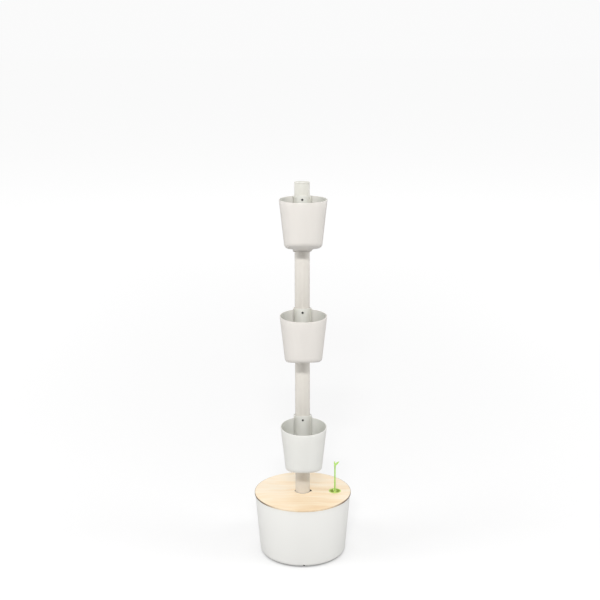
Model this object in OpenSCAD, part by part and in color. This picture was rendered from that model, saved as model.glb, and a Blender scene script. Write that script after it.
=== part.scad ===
// Self-watering planter tower: a round water tank with a wooden lid, a tube that rises from the
// tank, and three oval pots that hang in front of the tube and turn about it.
// The origin is on the tube's axis at the floor. Z is up, and the pots face -Y. Millimetres.

/* [Tube] */
// Outer radius of the tube
tube_r = 25; // [22:0.5:28]
// Wall of the tube
tube_wall = 2.5; // [2:0.1:4]
// Length of tube and cap above the top pot's rim
tube_above = 38.5; // [20:0.5:120]
// Thickness of the cap's flange
cap_t = 2.5; // [1.5:0.1:5]
// How far the cap's flange stands out past the tube
cap_lip = 0.6; // [0:0.1:2]
// Depth of the cap's plug in the tube
cap_plug = 16; // [8:1:20]

/* [Pots] */
// Number of pots' pitch: height from one pot's rim to the next
pot_pitch = 374; // [320:1:450]
// Height of the lowest pot's rim above the floor
rim_z = 500; // [480:1:600]
// Half width of the pot at its rim
pot_half_width = 76; // [65:1:90]
// Half depth of the pot at its rim, front to back
pot_half_depth = 91; // [75:1:100]
// Distance from the tube's axis to the middle of the pot
pot_reach = 132; // [125:1:150]
// Height of the pot's front wall
pot_front_h = 135.5; // [120:0.5:160]
// How much the wall draws in from the rim to the underside
pot_draft = 16.8; // [5:0.1:20]
// Slope of the underside, down towards the tube
pot_slope = 14.9; // [8:0.1:18]
// Wall of the pot
pot_wall = 3; // [2:0.1:4]
// Radius of the rounded edge under the pot
pot_edge_r = 12; // [6:0.5:16]

/* [Neck and sleeve] */
// Outer radius of the sleeve that the tube passes through
sleeve_r = 30.5; // [30.2:0.1:33]
// Half width of the neck where it leaves the cup
neck_half_width = 33; // [31:0.5:40]
// Wall of the neck
neck_wall = 2.5; // [2:0.1:4]
// Angle at which the neck's top falls towards the back
neck_fall = 7; // [2:0.5:12]
// Depth of the drip nozzle below the rim
nozzle_drop = 16; // [14:0.5:24]
// Radius of the drip nozzle's head
nozzle_head_r = 3.6; // [3.4:0.1:5]
// Radius of the drip nozzle's shank
nozzle_r = 3; // [2.5:0.1:3.2]
// Width of one drain slot in the foot of the sleeve
drain_w = 4; // [3:0.5:6]
// Height of the drain slots
drain_h = 12; // [8:1:20]

/* [Couplers] */
// Outer radius of the coupler, on which the pot turns
coupler_r = 27.2; // [26.8:0.1:27.6]
// Outer radius of the coupler's flange, which carries the pot
coupler_flange_r = 28.6; // [28.4:0.1:29]
// Thickness of the coupler's flange
coupler_flange_t = 5; // [3:0.5:8]
// Depth of the coupler's top edge below the rim
coupler_drop = 10.6; // [9:0.1:11]
// Depth of the pot's shoulder below the rim
shoulder_drop = 130; // [110:1:150]
// Thickness of the rib on which the tubes stand
coupler_rib_t = 3; // [2:0.5:6]
// Width of the rib on which the tubes stand
coupler_rib_w = 4; // [2.6:0.1:6]
// Depth of the rib below the rim
coupler_rib_drop = 70; // [50:1:90]
// Half height of the water groove round the coupler
groove_half_h = 3; // [2.5:0.1:3]
// Depth of the water groove
groove_t = 1; // [0.5:0.1:1.2]

/* [Water tank] */
// Outer radius of the tank at its rim
tank_top_r = 164; // [150:1:180]
// Outer radius of the tank at its underside
tank_bottom_r = 146.5; // [140:0.5:160]
// Height of the tank's rim above the floor
tank_h = 211; // [205:1:218]
// Wall of the tank
tank_wall = 3.5; // [2.5:0.1:5]
// Thickness of the tank's floor
tank_floor_t = 4; // [3:0.1:5]
// Radius of the tank's rounded lower edge
tank_edge_r = 12; // [8:0.5:20]
// Height of the pad that carries the tube socket
socket_pad_t = 3; // [2:0.5:5]
// Radius of the pad that carries the tube socket
socket_pad_r = 48; // [47:0.5:52]
// Radius of the small blind hole at the front of the lower edge
gate_hole_r = 3.2; // [2:0.1:4]
// Height of the blind hole's middle above the tank's underside
gate_hole_up = 5; // [4.5:0.1:8]
// Depth of the blind hole
gate_hole_depth = 8; // [4:0.5:10]
// Wall of the boss behind the blind hole
gate_boss_t = 2.5; // [2:0.1:4]

/* [Feet] */
// Height of the tank's underside above the floor
foot_gap = 2.5; // [2:0.1:5]
// Radius of an outer foot
foot_r = 9; // [6:0.5:12]
// Radius of the foot under the tube
centre_foot_r = 20; // [12:1:30]
// Radius of the circle on which the outer feet lie
foot_circle_r = 118; // [100:1:122]
// Depth of the pockets that hold the feet
foot_pocket = 1; // [0.5:0.1:1.5]
// Gap round a foot in its pocket
foot_fit = 0.3; // [0.1:0.1:0.5]

/* [Tube socket] */
// Radius of the socket's flange
socket_flange_r = 44; // [42:0.5:46]
// Thickness of the socket's flange
socket_flange_t = 4; // [3:0.5:6]
// Wall of the socket
socket_wall = 3.4; // [2.5:0.1:5]
// Height of the socket above its flange
socket_h = 45; // [30:1:60]
// Thickness of a socket rib
socket_rib_t = 3; // [2:0.5:4]
// Radius of the circle of the socket's screws
screw_circle_r = 37; // [36:0.5:38]
// Radius of a screw's shank
screw_r = 2; // [1.5:0.1:2.5]
// Radius of a screw's head
screw_head_r = 4; // [3.5:0.1:4.2]
// Height of a screw's head
screw_head_h = 2.6; // [2:0.1:4]
// Length of a screw in the tank's floor
screw_grip = 5; // [3:0.5:5]

/* [Lid] */
// How far the lid stands out past the tank's rim
lid_lap = 2; // [0:0.5:10]
// Thickness of the lid
lid_t = 5; // [4:0.5:8]
// Gap between the lid and the tube
lid_tube_gap = 1; // [0.5:0.1:2]
// Radius of the cable notch beside the tube
cable_notch_r = 9; // [7:0.5:12]
// How far the cable notch reaches past the tube
cable_notch_reach = 6; // [5:0.5:10]
// Radius of the small notch on the other side of the tube
side_notch_r = 2; // [1.5:0.5:5]
// How far the lid lifts before it meets the lowest pot
lid_lift = 75; // [40:1:80]

/* [Level indicator] */
// Distance of the indicator to the right of the tube
indicator_x = 111; // [95:0.5:115]
// Distance of the indicator behind the tube
indicator_y = -6; // [-20:1:20]
// Radius of the filler guide's flange
guide_r = 21; // [20:0.5:24]
// Thickness of the filler guide's flange
guide_flange_t = 1.2; // [0.8:0.1:3]
// How far the guide's flange overlaps the lid
guide_lap = 1.5; // [1:0.1:3]
// Wall of the guide's ring
guide_wall = 2.3; // [1.5:0.1:4]
// Gap between the guide's ring and the lid
guide_fit = 0.2; // [0.1:0.1:0.4]
// Height of the guide's ring below the top of the lid
guide_h = 12; // [8:1:16]
// Radius of the guide's hub
guide_hub_r = 6; // [5:0.5:8]
// Width of the guide's two spokes
guide_spoke_w = 9; // [5:0.5:10]
// Height of the guide's two spokes
guide_spoke_h = 4; // [2:0.5:8]
// Radius of the float's stem
stem_r = 2.3; // [2:0.1:3]
// How far the float travels, from full to empty
level_travel = 88; // [60:1:90]
// Radius of the stem's stop collar and foot
stem_collar_r = 4.5; // [4:0.5:5.5]
// Thickness of the stem's stop collar and foot
stem_collar_t = 2; // [1:0.5:3]
// Radius of the float
float_r = 16; // [12:0.5:18]
// Height of the float
float_h = 20; // [12:1:30]
// Chamfer of the float
float_chamfer = 3; // [1:0.5:5]
// Gap between the empty tank's floor and the lowered float
float_floor_gap = 4; // [2:0.5:8]
// Length of the large leaf
leaf_l = 21; // [14:0.5:24]
// Width of the large leaf
leaf_w = 7; // [5:0.5:10]
// Share of the large leaf's size that the small leaf has
small_leaf = 0.8; // [0.5:0.05:0.9]
// Lean of the large leaf from upright
leaf_lean = 38; // [30:1:60]
// Lean of the small leaf from upright
small_leaf_lean = 4; // [2:1:30]
// Thickness of the leaves
leaf_t = 2.4; // [1.5:0.1:3.5]
// Radius of the sprout's socket
sprout_r = 3.4; // [3.2:0.1:5]
// Height of the sprout's socket
sprout_h = 6; // [4:0.5:10]

/* [Pump and hose] */
// Gap between the pump's intake and the tank's wall at its foot
pump_margin = 29.5; // [20:0.5:40]
// Length of the pump's body
pump_l = 58; // [52:1:64]
// Width of the pump's body
pump_w = 44; // [40:1:50]
// Height of the pump's body
pump_h = 40; // [36:1:46]
// Distance from the pump's intake end to the outlet
pump_outlet_in = 12; // [10:0.5:14]
// Radius of the impeller's chamber
chamber_r = 15; // [13:0.5:16]
// Depth of the impeller's chamber
chamber_l = 16; // [14:0.5:20]
// Radius of the impeller
impeller_r = 13; // [10:0.5:13.5]
// Thickness of an impeller blade
blade_t = 1.6; // [1:0.1:2.5]
// Radius of the impeller's magnet
magnet_r = 7; // [5:0.5:9]
// Length of the impeller's magnet
magnet_l = 22; // [16:1:26]
// Gap round the magnet in its well
magnet_gap = 0.6; // [0.3:0.1:1]
// Radius of the impeller's shaft
shaft_r = 1.5; // [1:0.1:2]
// Thickness of the pump's cover
cover_t = 3; // [2:0.5:4]
// Width of a slot in the pump's cover
grille_slot = 2.4; // [1.5:0.1:3]
// Distance from one slot to the next
grille_pitch = 5; // [4:0.5:7]
// Radius of a suction cup
cup_r = 8; // [6:0.5:9]
// Height of a suction cup
cup_h = 8; // [6:0.5:10]
// Outer radius of the hose
hose_r = 5; // [4.5:0.1:6]
// Inner radius of the hose
hose_bore_r = 3.5; // [3:0.1:4]
// Radius of the hose's bends
hose_bend_r = 25; // [20:1:30]
// Height of the hose's level stretch above the floor
hose_level = 120; // [100:1:140]
// Length of a hose barb
barb_l = 12; // [8:1:16]
// Half height of a drip fitting's body
fitting_half_h = 8; // [6:0.5:10]
// Radius of a drip fitting's spout
spout_r = 2.1; // [1.6:0.1:2.2]
// Radius of the water way in a drip fitting
water_way_r = 1.2; // [0.8:0.1:1.5]

/* [Hidden] */
$fn = 96;

// Radial clearance of a shaft that turns or slides in its bore
running_gap = 0.08;
// Radial clearance of a piece that is pushed into its seat
seat_gap = 0.05;
// Clearance between pieces that pass each other
free_gap = 0.3;
// Overrun of a cut past the face that it opens
cut = 1;
// Facets of the pot's blended ovals
oval_facets = 64;
// Layers of the pot's rounded lower edge
edge_layers = 4;
hair = 0.01;

tube_bore_r = tube_r - tube_wall;
tower_h = rim_z + 2 * pot_pitch + tube_above;
rims = [for (i = [0:2]) rim_z + i * pot_pitch];

// Pot
journal_r = coupler_r + running_gap;
wide_bore_r = coupler_flange_r + free_gap;
foot_half_width = pot_half_width - pot_draft;
foot_half_depth = pot_half_depth - pot_draft;
foot_front = pot_reach + foot_half_depth;
neck_start = pot_reach - pot_half_depth + 8;
neck_end = foot_front - 2 * foot_half_depth + 2 * pot_edge_r + 10;
sleeve_depth = pot_front_h + (foot_front + sleeve_r) * tan(pot_slope) + 10;

// Tank
tank_inside_z = foot_gap + tank_floor_t;
socket_z = tank_inside_z + socket_pad_t;
tube_base_z = socket_z + socket_flange_t;
gate_boss_w = 2 * (gate_hole_r + gate_boss_t);
gate_boss_h = foot_gap + gate_hole_up + gate_hole_r + gate_boss_t - tank_inside_z;
foot_angles = [0:90:270];
screw_angles = [45:90:315];
rib_angles = [0:90:270];

// Lid and indicator
lid_r = tank_top_r + lid_lap;
lid_top = tank_h + lid_t;
lid_hole_r = tube_r + lid_tube_gap;
guide_hole_r = guide_r - guide_lap;
guide_ring_r = guide_hole_r - guide_fit;
guide_top = lid_top + guide_flange_t;
guide_bottom = lid_top - guide_h;
sprout_z = guide_top + level_travel + free_gap;
stem_foot_z = tank_inside_z + float_floor_gap + level_travel;
float_z = stem_foot_z + stem_collar_t;

// Pump
pump_x = tank_bottom_r - pump_margin - pump_outlet_in;
pump_axis_z = tank_inside_z + cup_h + pump_h / 2;
pump_front_x = -pump_x - pump_outlet_in;
pump_top_z = tank_inside_z + cup_h + pump_h;
barb_seat = pump_h / 2 - chamber_r - 0.5;
gland_h = 4;
hose_start_z = pump_top_z + 2 * gland_h;
barb_r = hose_bore_r - seat_gap;

// ---------------------------------------------------------------- water tank

// Half section of a tapered tub: straight wall, rounded lower edge, flat floor at height z0
module tub_section(r_low, r_top, z0, z1, edge) {
    lean = atan((r_top - r_low) / (z1 - z0));
    x_arc = r_low + edge * tan(lean) - edge / cos(lean);
    polygon([
        [0, z0], [x_arc, z0], [x_arc, z0 + edge],
        [x_arc + edge * cos(lean), z0 + edge - edge * sin(lean)], [r_top, z1], [0, z1]
    ]);
    translate([x_arc, z0 + edge]) circle(r = edge);
}

module reservoir() {
    lean = atan((tank_top_r - tank_bottom_r) / (tank_h - foot_gap));
    side = tank_wall / cos(lean);
    rise = tan(lean);
    skin_y = tank_bottom_r + tank_edge_r * (rise - 1 / cos(lean))
        + sqrt(pow(tank_edge_r, 2) - pow(tank_edge_r - gate_hole_up, 2));
    color([0.91, 0.91, 0.89])
    difference() {
        union() {
            rotate_extrude() difference() {
                tub_section(tank_bottom_r, tank_top_r, foot_gap, tank_h, tank_edge_r);
                tub_section(
                    tank_bottom_r + tank_floor_t * rise - side, tank_top_r + cut * rise - side,
                    tank_inside_z, tank_h + cut, tank_edge_r - tank_wall
                );
            }
            translate([0, 0, tank_inside_z - hair])
                cylinder(r = socket_pad_r, h = socket_pad_t + hair);
            intersection() {
                rotate_extrude()
                    tub_section(tank_bottom_r, tank_top_r, foot_gap, tank_h, tank_edge_r);
                translate([-gate_boss_w / 2, -skin_y, tank_inside_z - hair])
                    cube([gate_boss_w, gate_hole_depth + gate_boss_t, gate_boss_h]);
            }
        }
        for (a = foot_angles) rotate(a) translate([foot_circle_r, 0, foot_gap - cut])
            cylinder(r = foot_r + foot_fit, h = foot_pocket + cut);
        translate([0, 0, foot_gap - cut])
            cylinder(r = centre_foot_r + foot_fit, h = foot_pocket + cut);
        for (a = screw_angles) rotate(a)
            translate([screw_circle_r, 0, socket_z - screw_grip - free_gap])
                cylinder(r = screw_r + seat_gap, h = screw_grip + free_gap + cut);
        translate([0, gate_hole_depth - skin_y, foot_gap + gate_hole_up])
            rotate([90, 0, 0]) cylinder(r = gate_hole_r, h = gate_hole_depth + 2 * cut);
    }
}

module reservoir_feet() {
    color([0.16, 0.16, 0.16]) {
        for (a = foot_angles) rotate(a) translate([foot_circle_r, 0, 0])
            cylinder(r = foot_r, h = foot_gap + foot_pocket);
        cylinder(r = centre_foot_r, h = foot_gap + foot_pocket);
    }
}

// ---------------------------------------------------------------- tube socket

module tube_socket() {
    socket_r = tube_r + seat_gap;
    rib_reach = socket_flange_r - socket_r - socket_wall - 1;
    color([0.25, 0.26, 0.27])
    difference() {
        union() {
            translate([0, 0, socket_z]) cylinder(r = socket_flange_r, h = socket_flange_t);
            translate([0, 0, socket_z])
                cylinder(r = socket_r + socket_wall, h = socket_flange_t + socket_h);
            for (a = rib_angles) rotate(a)
                translate([socket_r + socket_wall / 2, socket_rib_t / 2, tube_base_z - hair])
                    rotate([90, 0, 0]) linear_extrude(socket_rib_t) polygon([
                        [0, 0], [rib_reach + socket_wall / 2, 0],
                        [socket_wall / 2, socket_h * 0.7], [0, socket_h * 0.7]
                    ]);
        }
        translate([0, 0, tube_base_z]) cylinder(r = socket_r, h = socket_h + cut);
        for (a = screw_angles) rotate(a) translate([screw_circle_r, 0, socket_z - cut])
            cylinder(r = screw_r + free_gap, h = socket_flange_t + 2 * cut);
    }
}

module socket_screws() {
    color([0.72, 0.73, 0.75])
    for (a = screw_angles) rotate(a) translate([screw_circle_r, 0, 0]) difference() {
        union() {
            translate([0, 0, socket_z - screw_grip])
                cylinder(r = screw_r, h = screw_grip + socket_flange_t + hair);
            translate([0, 0, tube_base_z]) cylinder(r = screw_head_r, h = screw_head_h);
        }
        translate([0, 0, tube_base_z + screw_head_h / 2])
            cylinder(r = screw_r * 0.8, h = screw_head_h, $fn = 6);
    }
}

// ---------------------------------------------------------------- tube

// One length of tube, with the hole for the spout of the pot at its lower end
module tube_length(z0, z1, spout_z) {
    color([0.86, 0.85, 0.83])
    difference() {
        translate([0, 0, z0]) cylinder(r = tube_r, h = z1 - z0);
        translate([0, 0, z0 - cut]) cylinder(r = tube_bore_r, h = z1 - z0 + 2 * cut);
        if (spout_z > 0) translate([0, 0, spout_z]) rotate([90, 0, 0])
            cylinder(r = spout_r + free_gap, h = tube_r + cut);
    }
}

function rib_top(i) = rims[i] - coupler_rib_drop;

module tube_base() {
    difference() {
        tube_length(tube_base_z, rib_top(0) - coupler_rib_t, 0);
        translate([-tube_r - cut, 0, hose_level + hair]) rotate([0, 90, 0])
            cylinder(r = hose_r + 1.5, h = tube_wall + hose_r + cut);
    }
}

module tube_lower() {
    tube_length(rib_top(0), rib_top(1) - coupler_rib_t, rims[0] - nozzle_drop);
}

module tube_upper() {
    tube_length(rib_top(1), rib_top(2) - coupler_rib_t, rims[1] - nozzle_drop);
}

module tube_top() {
    tube_length(rib_top(2), tower_h - cap_t, rims[2] - nozzle_drop);
}

module tube_cap() {
    color([0.88, 0.87, 0.85])
    difference() {
        union() {
            translate([0, 0, tower_h - cap_t]) cylinder(r = tube_r + cap_lip, h = cap_t);
            translate([0, 0, tower_h - cap_t - cap_plug])
                cylinder(r = tube_bore_r - seat_gap, h = cap_plug + hair);
        }
        translate([0, 0, tower_h - cap_t - cap_plug - cut])
            cylinder(r = tube_bore_r - seat_gap - tube_wall, h = cap_plug + cut);
    }
}

// ---------------------------------------------------------------- couplers

// A coupler joins two lengths of tube inside a pot's sleeve. The tubes stand on its inner rib,
// the pot's shoulder stands on its lower flange, and water reaches the pot's nozzle by a groove.
module coupler(z) {
    top_z = z - coupler_drop;
    flange_z = z - shoulder_drop - coupler_flange_t;
    socket_r = tube_r + seat_gap;
    color([0.30, 0.31, 0.32])
    difference() {
        union() {
            translate([0, 0, flange_z]) cylinder(r = coupler_r, h = top_z - flange_z);
            translate([0, 0, flange_z]) cylinder(r = coupler_flange_r, h = coupler_flange_t);
        }
        translate([0, 0, z - coupler_rib_drop]) cylinder(r = socket_r, h = coupler_rib_drop);
        translate([0, 0, flange_z - cut])
            cylinder(r = socket_r, h = z - coupler_rib_drop - coupler_rib_t - flange_z + cut);
        translate([0, 0, flange_z]) cylinder(r = socket_r - coupler_rib_w, h = shoulder_drop);
        translate([0, 0, z - nozzle_drop - groove_half_h]) difference() {
            cylinder(r = coupler_r + cut, h = 2 * groove_half_h);
            translate([0, 0, -cut])
                cylinder(r = coupler_r - groove_t, h = 2 * groove_half_h + 2 * cut);
        }
        translate([0, 0, z - nozzle_drop]) rotate([90, 0, 0])
            cylinder(r = spout_r + free_gap, h = coupler_r + cut);
    }
}

module coupler_lower() { coupler(rims[0]); }
module coupler_middle() { coupler(rims[1]); }
module coupler_upper() { coupler(rims[2]); }

// ---------------------------------------------------------------- pots

function underside(y) = -pot_front_h - (y + foot_front) * tan(pot_slope);

module oval(half_width, half_depth) {
    translate([0, -pot_reach]) scale([half_width, half_depth]) circle(r = 1, $fn = oval_facets);
}

// An oval slice that lies on the sloping underside, lifted by some height
module sloped_slice(half_width, half_depth, lift) {
    multmatrix([[1, 0, 0, 0], [0, 1, 0, 0], [0, -tan(pot_slope), 1, underside(0) + lift]])
        linear_extrude(hair) oval(half_width, half_depth);
}

// Solid form of the cup between the rim's height and the sloping underside
module cup_form(inset, top_z, edge) {
    hull() {
        translate([0, 0, top_z]) linear_extrude(hair)
            oval(pot_half_width - inset, pot_half_depth - inset);
        for (i = [0:edge_layers]) {
            turn = 90 * i / edge_layers;
            sloped_slice(
                foot_half_width - inset - edge * (1 - cos(turn)),
                foot_half_depth - inset - edge * (1 - cos(turn)),
                inset / cos(pot_slope) + edge * (1 - sin(turn))
            );
        }
    }
}

// Plan of the neck between the cup and the tube's axis
module neck_plan(inset) {
    polygon([
        [-sleeve_r + inset, 0], [sleeve_r - inset, 0],
        [neck_half_width - inset, -neck_end], [-neck_half_width + inset, -neck_end]
    ]);
}

// Everything above the pot's sloping underside, lifted by some height
module above_underside(lift) {
    reach = foot_front + sleeve_r + 20;
    translate([-pot_half_width, 0, 0]) rotate([90, 0, 90]) linear_extrude(2 * pot_half_width)
        polygon([
            [-reach, underside(-reach) + lift], [reach, underside(reach) + lift],
            [reach, cut], [-reach, cut]
        ]);
}

module pot(z) {
    color([0.88, 0.86, 0.84])
    translate([0, 0, z]) difference() {
        union() {
            difference() {
                union() {
                    cup_form(0, -hair, pot_edge_r);
                    intersection() {
                        translate([0, 0, -sleeve_depth]) linear_extrude(sleeve_depth)
                            neck_plan(0);
                        above_underside(0);
                    }
                }
                cup_form(pot_wall, cut, pot_edge_r - pot_wall);
                intersection() {
                    translate([0, 0, -sleeve_depth]) linear_extrude(sleeve_depth + cut)
                        neck_plan(neck_wall);
                    above_underside(pot_wall / cos(pot_slope));
                }
            }
            intersection() {
                translate([0, 0, -sleeve_depth]) cylinder(r = sleeve_r, h = sleeve_depth);
                above_underside(0);
            }
        }
        translate([0, 0, -sleeve_depth - cut]) cylinder(r = journal_r, h = sleeve_depth + 2 * cut);
        translate([0, 0, -sleeve_depth - cut])
            cylinder(r = wide_bore_r, h = sleeve_depth + cut - shoulder_drop + seat_gap);
        translate([0, 0, -nozzle_drop]) rotate([90, 0, 0])
            cylinder(r = nozzle_r + seat_gap, h = sleeve_r + cut);
        for (i = [-1:1]) rotate(22 * i) translate([
            -drain_w / 2, -sleeve_r - 2 * cut, underside(-sleeve_r) + pot_wall / cos(pot_slope)
        ]) cube([drain_w, sleeve_r - journal_r + 3 * cut, drain_h]);
        translate([-pot_half_width, -neck_start, 0]) rotate([-neck_fall, 0, 0])
            cube([2 * pot_half_width, neck_start + 2 * sleeve_r, 30]);
    }
}

module pot_lower() { pot(rims[0]); }
module pot_middle() { pot(rims[1]); }
module pot_upper() { pot(rims[2]); }

module drip_nozzle(z) {
    inner = journal_r + free_gap;
    color([0.06, 0.06, 0.06])
    translate([0, -inner, z - nozzle_drop]) rotate([90, 0, 0]) difference() {
        union() {
            cylinder(r = nozzle_r, h = sleeve_r - inner + 0.5);
            translate([0, 0, sleeve_r - inner]) cylinder(r = nozzle_head_r, h = 1.2);
        }
        translate([0, 0, -cut]) cylinder(r = water_way_r, h = sleeve_r - inner + 3 * cut);
    }
}

module drip_nozzle_lower() { drip_nozzle(rims[0]); }
module drip_nozzle_middle() { drip_nozzle(rims[1]); }
module drip_nozzle_upper() { drip_nozzle(rims[2]); }

// ---------------------------------------------------------------- water line

// A fitting in the riser: a body with a spout to the front and a barb below, and one above
module drip_fitting(z, upper_barb) {
    spout_end = coupler_r - groove_t;
    top = upper_barb ? fitting_half_h + barb_l : fitting_half_h;
    color([0.08, 0.08, 0.08])
    translate([0, 0, z - nozzle_drop]) difference() {
        union() {
            translate([0, 0, -fitting_half_h]) cylinder(r = hose_r, h = 2 * fitting_half_h);
            translate([0, 0, -fitting_half_h - barb_l]) cylinder(r = barb_r, h = barb_l + hair);
            if (upper_barb) translate([0, 0, fitting_half_h - hair])
                cylinder(r = barb_r, h = barb_l + hair);
            rotate([90, 0, 0]) cylinder(r = spout_r, h = spout_end);
        }
        translate([0, 0, -fitting_half_h - barb_l - cut])
            cylinder(r = water_way_r, h = fitting_half_h + barb_l + cut);
        if (upper_barb) cylinder(r = water_way_r, h = top + cut);
        rotate([90, 0, 0]) cylinder(r = water_way_r, h = spout_end + cut);
    }
}

module drip_tee_lower() { drip_fitting(rims[0], true); }
module drip_tee_middle() { drip_fitting(rims[1], true); }
module drip_elbow_upper() { drip_fitting(rims[2], false); }

module straight_hose(z0, z1) {
    translate([0, 0, z0]) difference() {
        cylinder(r = hose_r, h = z1 - z0);
        translate([0, 0, -cut]) cylinder(r = hose_bore_r, h = z1 - z0 + 2 * cut);
    }
}

// A quarter bend in the plane of X and Z, round the point at x and z
module hose_bend(x, z, start) {
    translate([x, 0, z]) rotate([90, 0, 0]) rotate_extrude(angle = 90, start = start)
        translate([hose_bend_r, 0]) difference() {
            circle(r = hose_r);
            circle(r = hose_bore_r);
        }
}

// From the pump's outlet up, across to the tube, and up the tube's axis to the first fitting
module riser_hose_lower() {
    color([0.20, 0.21, 0.22]) {
        translate([-pump_x, 0, 0]) straight_hose(hose_start_z, hose_level - hose_bend_r);
        hose_bend(-pump_x + hose_bend_r, hose_level - hose_bend_r, 90);
        translate([-pump_x + hose_bend_r, 0, hose_level]) rotate([0, 90, 0])
            straight_hose(0, pump_x - 2 * hose_bend_r);
        hose_bend(-hose_bend_r, hose_level + hose_bend_r, 270);
        straight_hose(hose_level + hose_bend_r, rims[0] - nozzle_drop - fitting_half_h);
    }
}

module riser_between(i) {
    color([0.20, 0.21, 0.22]) straight_hose(
        rims[i] - nozzle_drop + fitting_half_h, rims[i + 1] - nozzle_drop - fitting_half_h
    );
}

module riser_hose_middle() { riser_between(0); }
module riser_hose_upper() { riser_between(1); }

// ---------------------------------------------------------------- pump

// Places its children along the pump's axis, with +Z pointing from the intake into the pump
module on_pump_axis() {
    translate([pump_front_x, 0, pump_axis_z]) rotate([0, 90, 0]) children();
}

module rounded_block(length, width, height, r) {
    translate([0, -width / 2, 0]) difference() {
        cube([length, width, height]);
        for (side = [0, 1]) translate([-cut, side * width, height]) mirror([0, side, 0])
            translate([0, 0, -r]) difference() {
                translate([0, -cut, 0]) cube([length + 2 * cut, r + cut, r + cut]);
                translate([0, r, 0]) rotate([0, 90, 0])
                    cylinder(r = r, h = length + 2 * cut);
            }
    }
}

cup_places = [for (x = [cup_r + 2, pump_l - cup_r - 2], y = [-1, 1])
    [pump_front_x + x, y * (pump_w / 2 - cup_r - 1)]];

module pump_body() {
    color([0.10, 0.10, 0.11])
    difference() {
        union() {
            translate([pump_front_x, 0, tank_inside_z + cup_h])
                rounded_block(pump_l, pump_w, pump_h, 6);
            translate([-pump_x, 0, pump_top_z - hair]) cylinder(r = 6.5, h = gland_h + hair);
            translate([pump_front_x + pump_l - hair, 0, pump_axis_z + pump_h / 4])
                rotate([0, 90, 0]) cylinder(r = 5, h = 6);
        }
        on_pump_axis() translate([0, 0, -cut]) cylinder(r = chamber_r, h = chamber_l + cut);
        on_pump_axis() cylinder(r = magnet_r + magnet_gap, h = chamber_l + magnet_l + 1);
        on_pump_axis() cylinder(r = shaft_r + seat_gap, h = chamber_l + magnet_l + 7);
        translate([-pump_x, 0, pump_axis_z]) cylinder(r = barb_r, h = pump_h);
        for (p = cup_places) translate([p[0], p[1], tank_inside_z + cup_h - cut])
            cylinder(r = 2.5 + seat_gap, h = 5 + cut);
    }
}

// The intake cover: a plate with a round grille in front of the impeller
module pump_cover() {
    slots = floor((chamber_r - 4) / grille_pitch);
    color([0.14, 0.14, 0.15])
    difference() {
        translate([pump_front_x - cover_t, 0, tank_inside_z + cup_h])
            rounded_block(cover_t, pump_w, pump_h, 6);
        for (i = [-slots:slots]) {
            half = sqrt(pow(chamber_r - 1, 2) - pow(i * grille_pitch, 2));
            for (side = [-1, 1])
                translate([
                    pump_front_x - cover_t - cut, i * grille_pitch - grille_slot / 2,
                    pump_axis_z + (side > 0 ? 3 : -half)
                ]) cube([cover_t + 2 * cut, grille_slot, max(half - 3, 1)]);
        }
        on_pump_axis() translate([0, 0, -2]) cylinder(r = shaft_r + seat_gap, h = 2 + cut);
    }
}

module pump_impeller() {
    blade_l = chamber_l - 4;
    color([0.75, 0.75, 0.73])
    on_pump_axis() translate([0, 0, 2]) difference() {
        union() {
            cylinder(r = 4.5, h = blade_l);
            for (i = [0:5]) rotate(60 * i) translate([3, -blade_t / 2, 0])
                cube([impeller_r - 3, blade_t, blade_l]);
            translate([0, 0, blade_l - 1.5]) cylinder(r = impeller_r, h = 1.5);
            translate([0, 0, blade_l - hair]) cylinder(r = magnet_r, h = magnet_l);
        }
        translate([0, 0, -cut])
            cylinder(r = shaft_r + running_gap, h = blade_l + magnet_l + 2 * cut);
    }
}

module pump_shaft() {
    color([0.80, 0.81, 0.82])
    on_pump_axis() translate([0, 0, -2 + free_gap])
        cylinder(r = shaft_r, h = chamber_l + magnet_l + 8.4 - free_gap);
}

module pump_cups() {
    color([0.18, 0.18, 0.18])
    for (p = cup_places) translate([p[0], p[1], tank_inside_z]) rotate_extrude() polygon([
        [0, 2.5], [cup_r - 2.5, 0], [cup_r, 0], [cup_r, 0.8], [4, cup_h - 1.5], [4, cup_h],
        [2.5, cup_h], [2.5, cup_h + 4], [0, cup_h + 4]
    ]);
}

module pump_barb() {
    color([0.08, 0.08, 0.08])
    translate([-pump_x, 0, pump_top_z]) difference() {
        union() {
            translate([0, 0, -barb_seat])
                cylinder(r = barb_r - seat_gap, h = barb_seat + gland_h + hair);
            translate([0, 0, gland_h]) cylinder(r = hose_r, h = gland_h);
            translate([0, 0, 2 * gland_h - hair]) cylinder(r = barb_r, h = barb_l);
        }
        translate([0, 0, -barb_seat - cut])
            cylinder(r = 2, h = barb_seat + 2 * gland_h + barb_l + 2 * cut);
    }
}

// ---------------------------------------------------------------- lid and level indicator

module lid() {
    color([0.93, 0.79, 0.58])
    translate([0, 0, tank_h]) difference() {
        cylinder(r = lid_r, h = lid_t, $fn = 180);
        translate([0, 0, -cut]) cylinder(r = lid_hole_r, h = lid_t + 2 * cut);
        translate([tube_r + cable_notch_reach - cable_notch_r, 0, -cut])
            cylinder(r = cable_notch_r, h = lid_t + 2 * cut);
        translate([-lid_hole_r, 0, -cut]) cylinder(r = side_notch_r, h = lid_t + 2 * cut);
        translate([indicator_x, indicator_y, -cut])
            cylinder(r = guide_hole_r, h = lid_t + 2 * cut);
    }
}

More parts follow.
